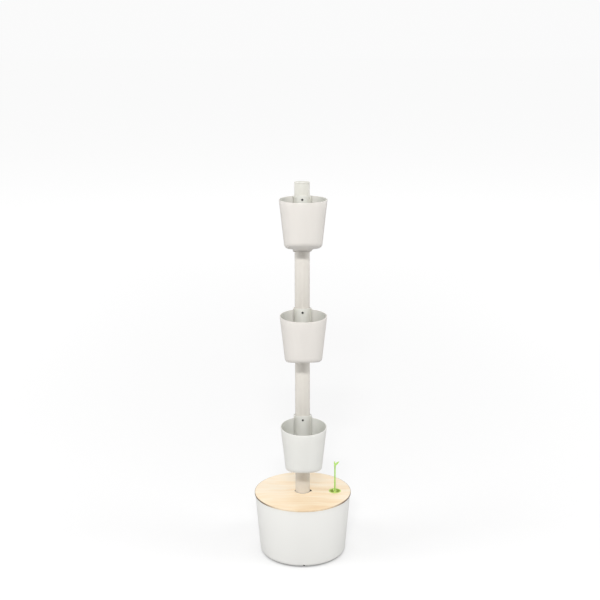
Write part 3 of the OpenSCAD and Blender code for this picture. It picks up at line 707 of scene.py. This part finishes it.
def flank(inset, neck_inset, depth, start):
    """Plan of the right flank from the sleeve to the front, as x, y and how much it is cup."""
    side = POT_HALF_WIDTH - POT_DRAFT * depth - inset
    deep = POT_HALF_DEPTH - POT_DRAFT * depth - inset
    blend = BLEND_R + inset

    def neck_x(y):
        return SLEEVE_R - neck_inset - NECK_LEAN * y

    def corner(turn):
        across, along = math.sin(turn) / side, math.cos(turn) / deep
        size = math.hypot(across, along)
        across, along = across / size, along / size
        x = side * math.sin(turn) + blend * across
        y = -POT_REACH + deep * math.cos(turn) + blend * along
        return x, y, math.atan2(along, across)

    # Halves the range until the blending circle, which touches the oval, touches the neck too.
    low, high = 0, math.pi / 2
    for _ in range(SEARCH_STEPS):
        turn = (low + high) / 2
        x, y, aim = corner(turn)
        if x - blend < neck_x(y):
            low = turn
        else:
            high = turn
    plan = []
    for i in range(NECK_STEPS):
        at = start + (y - start) * i / NECK_STEPS
        plan.append((neck_x(at), at, 0))
    for i in range(BLEND_STEPS + 1):
        share = i / BLEND_STEPS
        angle = math.pi + aim * share
        plan.append((
            x + blend * math.cos(angle), y + blend * math.sin(angle),
            share * share * (3 - 2 * share)
        ))
    for i in range(1, OVAL_STEPS + 1):
        angle = turn + (math.pi - turn) * i / OVAL_STEPS
        plan.append((
            side * math.sin(angle) if i < OVAL_STEPS else 0,
            -POT_REACH + deep * math.cos(angle), 1
        ))
    return plan


def skin_plan(inset, neck_inset, depth):
    """Plan of the outer skin's right half, from the back of the sleeve to the front."""
    radius = SLEEVE_R - neck_inset
    start = crease_y(NECK_WALL, 0)
    plan = []
    for i in range(ARC_STEPS):
        angle = math.pi / 2 * (1 - i / ARC_STEPS)
        plan.append((radius * math.cos(angle) if i else 0, radius * math.sin(angle), 0))
    for i in range(SHORT_STEPS):
        y = start * i / SHORT_STEPS
        plan.append((radius - NECK_LEAN * y, y, 0))
    return plan + flank(inset, neck_inset, depth, start)


def hollow_plan(inset, edge, depth):
    """Plan of the hollow's right half, from the sleeve's front round to the cup's front."""
    start = crease_y(NECK_WALL, edge) - CREASE_FILL
    reach = math.asin(-start / (SLEEVE_R + edge))
    plan = []
    for i in range(FRONT_STEPS):
        angle = -math.pi / 2 + (math.pi / 2 - reach) * i / FRONT_STEPS
        x = (SLEEVE_R + edge) * math.cos(angle) if i else 0
        plan.append((x, (SLEEVE_R + edge) * math.sin(angle), 0))
    return plan + flank(inset, NECK_WALL + edge, depth, start)


def bore_plan(radius):
    """Plan of the bore's right half, with its points in line with the skin's and the hollow's."""
    start = crease_y(NECK_WALL, 0)
    reach = math.asin(-start / SLEEVE_R)
    angles = [math.pi / 2 * (1 - i / ARC_STEPS) for i in range(ARC_STEPS)]
    angles += [-reach * i / SHORT_STEPS for i in range(SHORT_STEPS)]
    angles += [
        -reach - (math.pi / 2 - reach) * i / FRONT_STEPS for i in range(FRONT_STEPS + 1)
    ]
    plan = [(radius * math.cos(a), radius * math.sin(a), 0) for a in angles]
    plan[0] = (0, radius, 0)
    plan[-1] = (0, -radius, 0)
    return plan


def raise_row(plan, share, neck_lift, cup_lift):
    """Stands a plan at a share of the way from the pot's upper edge to its underside."""
    row = []
    for x, y, cup in plan:
        lift = neck_lift + (cup_lift - neck_lift) * cup
        row.append((x, y, top_z(y) * (1 - share) + foot_z(y) * share + lift))
    return row


WALL_SHARES = (0.2, 0.4, 0.6, 0.8)
rounding = [math.pi / 2 * i / ROUND_STEPS for i in range(ROUND_STEPS + 1)]
floor_lift = POT_WALL / math.cos(POT_SLOPE)

skin_rows = []
for angle in rounding:
    inset, drop = RIM_R * (1 - math.sin(angle)), RIM_R * (1 - math.cos(angle))
    skin_rows.append(raise_row(skin_plan(inset, inset, 0), 0, -drop, -drop))
for share in WALL_SHARES:
    skin_rows.append(raise_row(skin_plan(0, 0, share), share, 0, 0))
for angle in rounding:
    turned, left = 1 - math.cos(angle), 1 - math.sin(angle)
    depth = 1 - POT_EDGE_R * left / POT_MEAN_H
    plan = skin_plan(POT_EDGE_R * turned, NECK_EDGE_R * turned, depth)
    skin_rows.append(raise_row(plan, 1, NECK_EDGE_R * left, POT_EDGE_R * left))

hollow_rows = []
for angle in rounding:
    drop, grow = RIM_R * (1 - math.cos(angle)), RIM_R * (1 - math.sin(angle))
    plan = hollow_plan(POT_WALL - grow, -grow / 2, 0)
    hollow_rows.append(raise_row(plan, 0, -drop, -drop))
for share in WALL_SHARES:
    hollow_rows.append(raise_row(hollow_plan(POT_WALL, 0, share), share, 0, 0))
inner_edge_r = POT_EDGE_R - POT_WALL
for angle in rounding:
    turned, left = 1 - math.cos(angle), 1 - math.sin(angle)
    depth = 1 - (inner_edge_r * left + floor_lift) / POT_MEAN_H
    plan = hollow_plan(POT_WALL + inner_edge_r * turned, NECK_EDGE_R * turned, depth)
    hollow_rows.append(
        raise_row(plan, 1, NECK_EDGE_R * left + floor_lift, inner_edge_r * left + floor_lift)
    )

bore_rows = [
    raise_row(bore_plan(JOURNAL_R + BORE_CHAMFER), 0, 0, 0),
    raise_row(bore_plan(JOURNAL_R), 0, -BORE_CHAMFER, 0),
    [(x, y, -SHOULDER_DROP) for x, y, cup in bore_plan(JOURNAL_R)],
    [(x, y, -SHOULDER_DROP) for x, y, cup in bore_plan(WIDE_BORE_R)],
    raise_row(bore_plan(WIDE_BORE_R), 1, 0, 0)
]

points, faces = [], []


def number_rows(rows):
    """Adds rows of points to the pot and returns their numbers, row by row."""
    numbered = []
    for row in rows:
        numbered.append(list(range(len(points), len(points) + len(row))))
        points.extend(row)
    return numbered


def join_rows(one, two):
    """Lays a strip of faces between two rows of numbers."""
    for i in range(len(one) - 1):
        faces.append((one[i], one[i + 1], two[i + 1], two[i]))


skin_rows, hollow_rows, bore_rows = (
    number_rows(rows) for rows in (skin_rows, hollow_rows, bore_rows)
)
for rows in (skin_rows, hollow_rows, bore_rows):
    for one, two in zip(rows, rows[1:]):
        join_rows(one, two)
split = ARC_STEPS + SHORT_STEPS
join_rows(skin_rows[0][:split + 1], bore_rows[0][:split + 1])
join_rows(skin_rows[0][split:], hollow_rows[0][FRONT_STEPS:])
join_rows(hollow_rows[0][:FRONT_STEPS + 1], bore_rows[0][:split - 1:-1])
faces.append((skin_rows[0][split], hollow_rows[0][FRONT_STEPS], bore_rows[0][split]))
join_rows(skin_rows[-1][:split + 1], bore_rows[-1][:split + 1])
faces.append(skin_rows[-1][split:] + bore_rows[-1][:split - 1:-1])
faces.append(hollow_rows[-1])

half_pot = bpy.data.meshes.new("pot_lower_shell")
half_pot.from_pydata(points, [], faces)
pot = bpy.data.objects.new("pot_lower_shell", half_pot)
scene.collection.objects.link(pot)
mirror = pot.modifiers.new("other_half", "MIRROR")
mirror.use_clip = True
bpy.context.view_layer.objects.active = pot
bpy.ops.object.modifier_apply(modifier=mirror.name)
bpy.ops.object.mode_set(mode="EDIT")
bpy.ops.mesh.select_all(action="SELECT")
bpy.ops.mesh.remove_doubles(threshold=0.00001)
bpy.ops.mesh.normals_make_consistent(inside=False)
bpy.ops.object.mode_set(mode="OBJECT")

NOZZLE_HOLE_R = 0.00305
NOZZLE_DRILL_START = 0.020
NOZZLE_DRILL = 0.014
DRAIN_W = 0.004
DRAIN_H = 0.012
DRAIN_CUT = 0.010
DRAIN_MIDDLE_R = 0.029
DRAIN_TURNS = (-22, 0, 22)
bore(pot, NOZZLE_HOLE_R, (0, -NOZZLE_DRILL_START, -NOZZLE_DROP), NOZZLE_DRILL, (0, -1, 0))
drain_z = foot_z(-SLEEVE_R) + floor_lift + DRAIN_H / 2
for turn in DRAIN_TURNS:
    angle = math.radians(turn)
    drain = block(
        (DRAIN_MIDDLE_R * math.sin(angle), -DRAIN_MIDDLE_R * math.cos(angle), drain_z),
        (DRAIN_W, DRAIN_CUT, DRAIN_H), angle
    )
    join_solid(pot, drain, "DIFFERENCE")

# A cup's inside is painted darker and a little greener, most at its two sides, as painted shade,
# and the front of its sleeve is painted paler down to the cup's floor, as painted light. The
# lowest pot is of a cooler batch.
INSIDE_PAINTED_SHADE = (0.785, 0.83, 0.815)
COOL_INSIDE_PAINTED_SHADE = (0.74, 0.75, 0.725)
SLEEVE_PAINTED_LIGHT = (1.06, 1.11, 1.11)
INSIDE_MIDDLE = 0.45
SIDE_SHADE_START = 0.040
SIDE_SHADE_END = 0.070
INWARD = 0.004
SLEEVE_SLACK = 0.001
pot_paint = moulded(
    "pot_plastic", (0.765, 0.73, 0.685), roughness=0.38, inside=INSIDE_PAINTED_SHADE, sleeve=SLEEVE_PAINTED_LIGHT
)
cool_paint = moulded(
    "pot_plastic_cool", (0.795, 0.79, 0.75), roughness=0.38, inside=COOL_INSIDE_PAINTED_SHADE
)
pot_middle = mathutils.Vector((0, -POT_REACH, -POT_MEAN_H / 2))


def cup_painted_shade(middle, normal):
    """How much painted shade a face of the cup's inside takes: all of it somewhat, and most at
    its two sides.
    """
    if normal.dot(pot_middle - middle) < INWARD or from_axis(middle) < SLEEVE_R + SLEEVE_SLACK:
        return 0
    side = min(1, max(0, (abs(middle.x) - SIDE_SHADE_START) / (SIDE_SHADE_END - SIDE_SHADE_START)))
    return INSIDE_MIDDLE + (1 - INSIDE_MIDDLE) * side


def sleeve_front(middle, normal):
    """Whether a face is on the upright front of the sleeve, above the cup's floor, which takes
    painted light.
    """
    upright = normal.y < -0.2 and abs(normal.z) < 0.5
    on_sleeve = meets(from_axis(middle), SLEEVE_R, SLEEVE_SLACK)
    return upright and on_sleeve and middle.z > foot_z(middle.y) + floor_lift


mark_faces(pot, "inside", cup_painted_shade)
mark_faces(pot, "sleeve", sleeve_front)
body_names = ["lower_pot", "middle_pot", "upper_pot"]
shells = [pot, pot.copy(), pot.copy()]
for shell, node in zip(shells[1:], pot_nodes[1:]):
    shell.data = pot.data.copy()
    shell.name = shell.data.name = node + "_shell"
    scene.collection.objects.link(shell)
for shell, rim, body, node in zip(shells, rims, body_names, pot_nodes):
    shell.location = (0, 0, rim)
    settle(shell, cool_paint if node == "pot_lower" else pot_paint, body, node)


# ---------------------------------------------------------------------------
# The drip nozzles: small black barbs with a domed head, pushed through the
# front of each sleeve just under its edge. Water from the groove round the
# coupler drips out of them on the soil.
# ---------------------------------------------------------------------------

fitting_paint = moulded("fitting_plastic", (0.012, 0.012, 0.012), roughness=0.45)
NOZZLE_R = 0.003
NOZZLE_HEAD_R = 0.0036
NOZZLE_DOME_R = 0.0005
NOZZLE_BORE_R = 0.0012
NOZZLE_BORE_START = 0.002
NOZZLE_BORE_DRILL = 0.010
for rim, body, level in zip(rims, body_names, ["lower", "middle", "upper"]):
    node = "drip_nozzle_" + level
    low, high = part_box(node)
    axis_z = rim - NOZZLE_DROP
    bpy.ops.mesh.primitive_cylinder_add(
        vertices=40, radius=NOZZLE_R, depth=high.y - low.y,
        location=(0, (high.y + low.y) / 2, axis_z), rotation=(math.pi / 2, 0, 0)
    )
    nozzle = add_piece(node + "_barb")
    bpy.ops.object.mode_set(mode="OBJECT")
    head = rod(NOZZLE_HEAD_R, (0, -SLEEVE_R, axis_z), -SLEEVE_R - low.y, (0, -1, 0), sides=40)
    join_solid(nozzle, head, "UNION")
    bore_start = (0, high.y + NOZZLE_BORE_START, axis_z)
    bore(nozzle, NOZZLE_BORE_R, bore_start, NOZZLE_BORE_DRILL, (0, -1, 0), sides=24)
    bpy.ops.object.mode_set(mode="EDIT")
    round_edges(
        nozzle,
        lambda p: meets(p.y, low.y)
        and meets(math.hypot(p.x, p.z - axis_z), NOZZLE_HEAD_R, slack=1e-4),
        NOZZLE_DOME_R, steps=3
    )
    settle(nozzle, fitting_paint, body, node)


# ---------------------------------------------------------------------------
# The lid: a disc of thin birch plywood, oiled, with the grain from side to side
# and edges burnt brown by the laser that cut it. It has a hole for the tube,
# notched at the right for the pump's cable and at the left, and the guide's hole.
# ---------------------------------------------------------------------------

lid_low, lid_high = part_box("lid")
guide_low, guide_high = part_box("filler_guide")
LID_R = min(lid_high.x, -lid_low.x)
LID_T = lid_high.z - lid_low.z
LID_EDGE_R = 0.0004
LID_HOLE_R = 0.026
CABLE_NOTCH_R = 0.009
CABLE_NOTCH_X = 0.022
SIDE_NOTCH_R = 0.002
GUIDE_X = (guide_low.x + guide_high.x) / 2
GUIDE_Y = (guide_low.y + guide_high.y) / 2
GUIDE_R = (guide_high.x - guide_low.x) / 2
GUIDE_LAP = 0.0015
GUIDE_HOLE_R = GUIDE_R - GUIDE_LAP
PLY_WAVES = 1.5
BURN_DEPTH = 0.0006
BURN_SHARE = 0.92
SCORCH_DEPTH = 0.0022
SCORCH_ALL_ROUND = 0.12
SCORCH_SIDES = 0.80
BURN_DARK = (0.045, 0.020, 0.009)
BURN_PALE = (0.13, 0.062, 0.028)
NOTCH_PAINTED_SHADE = (0.012, 0.007, 0.004)
WOOD_SHADES = (
    (0.34, (0.88, 0.66, 0.42)), (0.46, (0.95, 0.775, 0.55)),
    (0.56, (0.975, 0.835, 0.645)), (0.66, (0.985, 0.88, 0.715))
)

plywood, shader, place = new_finish("birch_plywood")
parts = place.node("SeparateXYZ", {}, {"Vector": place}).socket.node.outputs
along, across, height = (Feed(parts[axis]) for axis in "XYZ")
warp = noise(place, scale=5, detail=2)


def grain_noise(stretch, wander, scale, detail):
    """Random lines along the grain, stretched along X, Y and Z, that wander across it."""
    x, y, z = stretch
    place = along.node(
        "CombineXYZ", {}, {"X": along * x, "Y": across * y + warp * wander, "Z": height * z}
    )
    return noise(place, scale, detail)


figure = grain_noise((1.3, 11, 3), wander=1.1, scale=4, detail=4)
streak = grain_noise((5, 150, 10), wander=6, scale=2.2, detail=5)
fibre = grain_noise((40, 1100, 60), wander=0, scale=2, detail=3)
heart = eased(across, start=-0.045, end=-0.12) * eased(along, start=-0.07, end=0.02, first=0.08)
sap = eased(along, start=-0.02, end=-0.12)
pale_end = eased(along, start=0.09, end=0.15)
mixed = figure * 0.50 + streak * 0.36 + fibre * 0.14 - heart * 0.07 + sap * 0.05 + pale_end * 0.05
wood_shade = mixed.node("ValToRGB", {"stops": WOOD_SHADES}, {"Fac": mixed})


def radius_from(x, y):
    """Distance of a point of the lid from an upright axis, as a feed."""
    dx, dy = along - x, across - y
    square = dx * dx + dy * dy
    return square.maths("SQRT", square)


def edge_of(distance, radius, inward, depth=BURN_DEPTH):
    """1 within the burnt skin of a cut at that radius, falling to 0 away from it."""
    gap = (distance - radius) if inward else (radius - distance)
    return gap.node(
        "MapRange", {"clamp": True},
        {"Value": gap, "From Min": 0.0, "From Max": depth, "To Min": 1.0, "To Max": 0.0}
    )


# The rim's burnt colour is strongest at its left and right and faint at its front and back.
burn_towards_sides = eased(along.maths("ABSOLUTE", along) / LID_R, start=0.45, end=0.88, first=0.06)
burnt = edge_of(radius_from(0, 0), LID_R, False) * burn_towards_sides
scorch_share = burn_towards_sides * SCORCH_SIDES + SCORCH_ALL_ROUND
scorched = edge_of(radius_from(0, 0), LID_R, False, SCORCH_DEPTH) * scorch_share
burnt = burnt.maths("MAXIMUM", burnt, scorched)
for cut_x, cut_y, cut_r in ((0, 0, LID_HOLE_R), (GUIDE_X, GUIDE_Y, GUIDE_HOLE_R)):
    burnt = burnt.maths("MAXIMUM", burnt, edge_of(radius_from(cut_x, cut_y), cut_r, True))
# The walls of the two notches are painted near black: painted shade where the dark tank shows
# through them.
notch_shade_share = edge_of(radius_from(CABLE_NOTCH_X, 0), CABLE_NOTCH_R, True)
notch_shade_share = notch_shade_share.maths(
    "MAXIMUM", notch_shade_share, edge_of(radius_from(-LID_HOLE_R, 0), SIDE_NOTCH_R, True)
)
ply = height.maths("SINE", (height - lid_low.z) * (PLY_WAVES * 2 * math.pi / LID_T))
burn_shade = colour_mix(ply * 0.5 + 0.5, BURN_DARK, BURN_PALE)
edge_shade = colour_mix(burnt * BURN_SHARE, wood_shade, burn_shade)
colour_mix(notch_shade_share, edge_shade, NOTCH_PAINTED_SHADE).into(shader, "Base Color")
((1 - streak) * 0.2 + burnt * 0.15 + 0.50).into(shader, "Roughness")
emboss(shader, streak * 0.6 + fibre * 0.5, strength=0.5, depth=0.00012)

bpy.ops.mesh.primitive_cylinder_add(
    vertices=256, radius=LID_R, depth=LID_T, location=(0, 0, (lid_low.z + lid_high.z) / 2)
)
lid = add_piece("lid_disc")
for face_z in (lid_low.z, lid_high.z):
    round_edges(lid, lambda p: meets(p.z, face_z), LID_EDGE_R, steps=2)
bpy.ops.object.mode_set(mode="OBJECT")
for x, y, radius, sides in (
    (0, 0, LID_HOLE_R, 96), (CABLE_NOTCH_X, 0, CABLE_NOTCH_R, 64),
    (-LID_HOLE_R, 0, SIDE_NOTCH_R, 32), (GUIDE_X, GUIDE_Y, GUIDE_HOLE_R, 96)
):
    bore(lid, radius, (x, y, lid_low.z - DRILL_START), 3 * DRILL_START, sides=sides)
settle(lid, plywood, "tank_lid", "lid", crease=30)


# ---------------------------------------------------------------------------
# The filler guide: a bright green plastic ring that drops into the lid. Its
# hub, held by two spokes, guides the stem, and the two openings beside it let
# water be poured in.
# ---------------------------------------------------------------------------

GUIDE_FLANGE_T = 0.0012
GUIDE_FLANGE_EDGE_R = 0.0007
GUIDE_FIT = 0.0002
GUIDE_RING_R = GUIDE_HOLE_R - GUIDE_FIT
GUIDE_WALL = 0.0023
HUB_R = 0.006
SPOKE_W = 0.009
SPOKE_H = 0.004
STEM_R = 0.0023
STEM_PLAY = 0.00008

green_paint = moulded("green_plastic", (0.36, 0.68, 0.09), roughness=0.34)
guide_paint = moulded("green_plastic_ring", (0.55, 0.72, 0.17), roughness=0.38)

bpy.ops.mesh.primitive_cylinder_add(
    vertices=96, radius=GUIDE_R, depth=GUIDE_FLANGE_T,
    location=(GUIDE_X, GUIDE_Y, guide_high.z - GUIDE_FLANGE_T / 2)
)
guide = add_piece("filler_guide_ring")
pick_faces(guide, looks_down)
bpy.ops.mesh.inset(thickness=GUIDE_R - GUIDE_RING_R)
push_faces((0, 0, guide_low.z - guide_high.z + GUIDE_FLANGE_T))
round_edges(guide, lambda p: meets(p.z, guide_high.z), GUIDE_FLANGE_EDGE_R, steps=3)
bpy.ops.object.mode_set(mode="OBJECT")
below_guide = (GUIDE_X, GUIDE_Y, guide_low.z - DRILL_START)
bore(guide, GUIDE_RING_R - GUIDE_WALL, below_guide, 4 * DRILL_START, sides=96)
hub = rod(HUB_R, (GUIDE_X, GUIDE_Y, guide_low.z), guide_high.z - guide_low.z)
join_solid(guide, hub, "UNION")
spokes = block(
    (GUIDE_X, GUIDE_Y, guide_high.z - SPOKE_H / 2),
    (SPOKE_W, 2 * GUIDE_RING_R - GUIDE_WALL, SPOKE_H)
)
join_solid(guide, spokes, "UNION")
bore(guide, STEM_R + STEM_PLAY, below_guide, 4 * DRILL_START)
settle(guide, guide_paint, "tank_lid", "filler_guide")


# ---------------------------------------------------------------------------
# The level indicator: a float of closed-cell foam on a green plastic stem,
# which slides in the guide and carries a small sprout. The sprout stands high
# when the tank is full and sinks to the lid when water is needed.
# ---------------------------------------------------------------------------

stem_low, stem_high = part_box("float_stem")
sprout_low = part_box("sprout")[0]
STEM_EDGE_R = 0.0003
COLLAR_R = 0.0045
COLLAR_T = 0.002
COLLAR_GAP = 0.0003
stem_length = stem_high.z - stem_low.z

bpy.ops.mesh.primitive_cylinder_add(
    vertices=40, radius=STEM_R, depth=stem_length,
    location=(GUIDE_X, GUIDE_Y, stem_low.z + stem_length / 2)
)
stem = add_piece("indicator_stem")
for end in (stem_low.z, stem_high.z):
    round_edges(stem, lambda p: meets(p.z, end), STEM_EDGE_R, steps=2)
bpy.ops.object.mode_set(mode="OBJECT")
for collar_z in (stem_low.z, guide_low.z - COLLAR_GAP - COLLAR_T):
    join_solid(stem, rod(COLLAR_R, (GUIDE_X, GUIDE_Y, collar_z), COLLAR_T), "UNION")
settle(stem, green_paint, "level_indicator", "float_stem")

SPROUT_R = 0.0034
SPROUT_H = 0.006
SPROUT_EDGE_R = 0.0012
SOCKET_FIT = 0.00005
SOCKET_START = 0.001
LEAF_T = 0.0024
RIB_DEPTH = 0.35
LEAF_CURL = 0.0018
LEAF_L = 0.021
LEAF_W = 0.007
LEAF_LEAN = 38
SMALL_LEAF = 0.8
SMALL_LEAF_LEAN = 4
LEAF_SINK = 0.0025
leaf_root = (GUIDE_X, GUIDE_Y, sprout_low.z + SPROUT_H - LEAF_SINK)


def leaf(name, length, width, lean, curl):
    """A leaf with soft edges, pointed ends and a sunk midrib, curled and leaned over."""
    bpy.ops.mesh.primitive_uv_sphere_add(
        segments=32, ring_count=24, radius=length / 2, location=(0, 0, length / 2)
    )
    blade = add_piece(name)
    shape = bmesh.from_edit_mesh(blade.data)
    heights = sorted({round(point.co.z, 6) for point in shape.verts})
    arc_r = ((length / 2) ** 2 + (width / 2) ** 2) / width
    for height in heights[1:-1]:
        up = height - length / 2
        ring_r = math.sqrt((length / 2) ** 2 - up * up)
        half_width = math.sqrt(arc_r ** 2 - up * up) - arc_r + width / 2
        half_thick = LEAF_T / 2 * (half_width / (width / 2)) ** 0.5
        pick_points(blade, lambda p: meets(p.z, height))
        bpy.ops.transform.resize(
            value=(half_width / ring_r, half_thick / ring_r, 1), center_override=(0, 0, height)
        )
        pick_points(blade, lambda p: meets(p.z, height) and meets(p.x, 0) and p.y < 0)
        bpy.ops.transform.translate(value=(0, half_thick * RIB_DEPTH, 0))
        pick_points(blade, lambda p: meets(p.z, height))
        bpy.ops.transform.translate(value=(curl * (height / length) ** 2, 0, 0))
    pick_points(blade, lambda p: meets(p.z, length))
    bpy.ops.transform.translate(value=(curl, 0, 0))
    bpy.ops.mesh.select_all(action="SELECT")
    bpy.ops.transform.translate(value=leaf_root)
    bpy.ops.transform.rotate(
        value=-math.radians(lean), orient_axis="Y", center_override=leaf_root
    )
    bpy.ops.object.mode_set(mode="OBJECT")
    return blade


rod(SPROUT_R, (GUIDE_X, GUIDE_Y, sprout_low.z), SPROUT_H)
sprout = add_piece("sprout_leaves")
round_edges(sprout, lambda p: meets(p.z, sprout_low.z + SPROUT_H), SPROUT_EDGE_R, steps=3)
bpy.ops.object.mode_set(mode="OBJECT")
leaf_paint = moulded("green_plastic_leaf", (0.50, 0.78, 0.21), roughness=0.34)
large_leaf = leaf("large_leaf", LEAF_L, LEAF_W, LEAF_LEAN, LEAF_CURL)
small_leaf = leaf(
    "small_leaf", LEAF_L * SMALL_LEAF, LEAF_W * SMALL_LEAF, -SMALL_LEAF_LEAN,
    -LEAF_CURL * SMALL_LEAF
)
join_solid(sprout, large_leaf, "UNION")
join_solid(sprout, small_leaf, "UNION")
bore(sprout, STEM_R + SOCKET_FIT, (GUIDE_X, GUIDE_Y, sprout_low.z - SOCKET_START), SPROUT_H)
settle(sprout, leaf_paint, "level_indicator", "sprout")


def paint_node(node, material):
    """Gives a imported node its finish."""
    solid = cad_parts[node]
    solid.data.materials.clear()
    solid.data.materials.append(material)


foam, shader, place = new_finish("float_foam")
cells = place.node("TexVoronoi", {}, {"Vector": place, "Scale": 700})
blots = noise(place, scale=120, detail=3)
colour_mix(blots, (0.78, 0.78, 0.74), (0.90, 0.90, 0.87)).into(shader, "Base Color")
(blots * 0.2 + 0.7).into(shader, "Roughness")
emboss(shader, cells, strength=0.6, depth=0.0002)
paint_node("level_float", foam)


# ---------------------------------------------------------------------------
# The couplers and the tube's socket: dark grey moulded plastic. The couplers
# join the lengths of tube inside the sleeves and carry the pots, and the
# socket holds the tube's foot, with four steel screws in the tank's floor.
# ---------------------------------------------------------------------------

hidden_paint = moulded("dark_plastic", (0.07, 0.074, 0.078), roughness=0.5)
for node in ("coupler_lower", "coupler_middle", "coupler_upper", "tube_socket"):
    paint_node(node, hidden_paint)

steel, shader, place = new_finish("screw_steel")
marks = noise(drawn_out(place, (1, 1, 12)), scale=500, detail=3)
shader.inputs["Metallic"].default_value = 1.0
colour_mix(marks, (0.48, 0.49, 0.50), (0.68, 0.69, 0.70)).into(shader, "Base Color")
(marks * 0.2 + 0.25).into(shader, "Roughness")
paint_node("socket_screws", steel)


# ---------------------------------------------------------------------------
# The pump and the water line: a small black submersible pump on four suction
# cups, a black hose that climbs inside the tube, and black drip fittings that
# bring water through the tube's wall to each pot.
# ---------------------------------------------------------------------------

pump_paint = moulded("pump_plastic", (0.015, 0.015, 0.017), roughness=0.42, relief=0.00006)
for node in ("pump_body", "pump_cover"):
    paint_node(node, pump_paint)
for node in ("pump_barb", "drip_tee_lower", "drip_tee_middle", "drip_elbow_upper"):
    paint_node(node, fitting_paint)
hose_rubber = rubber("hose_rubber", (0.020, 0.021, 0.022))
for node in ("riser_hose_lower", "riser_hose_middle", "riser_hose_upper"):
    paint_node(node, hose_rubber)
paint_node("pump_cups", foot_rubber)
rotor_paint = moulded("rotor_plastic", (0.30, 0.30, 0.29), roughness=0.5)
paint_node("pump_impeller", rotor_paint)
ceramic = moulded("shaft_ceramic", (0.80, 0.80, 0.78), roughness=0.15, relief=0.000005)
paint_node("pump_shaft", ceramic)
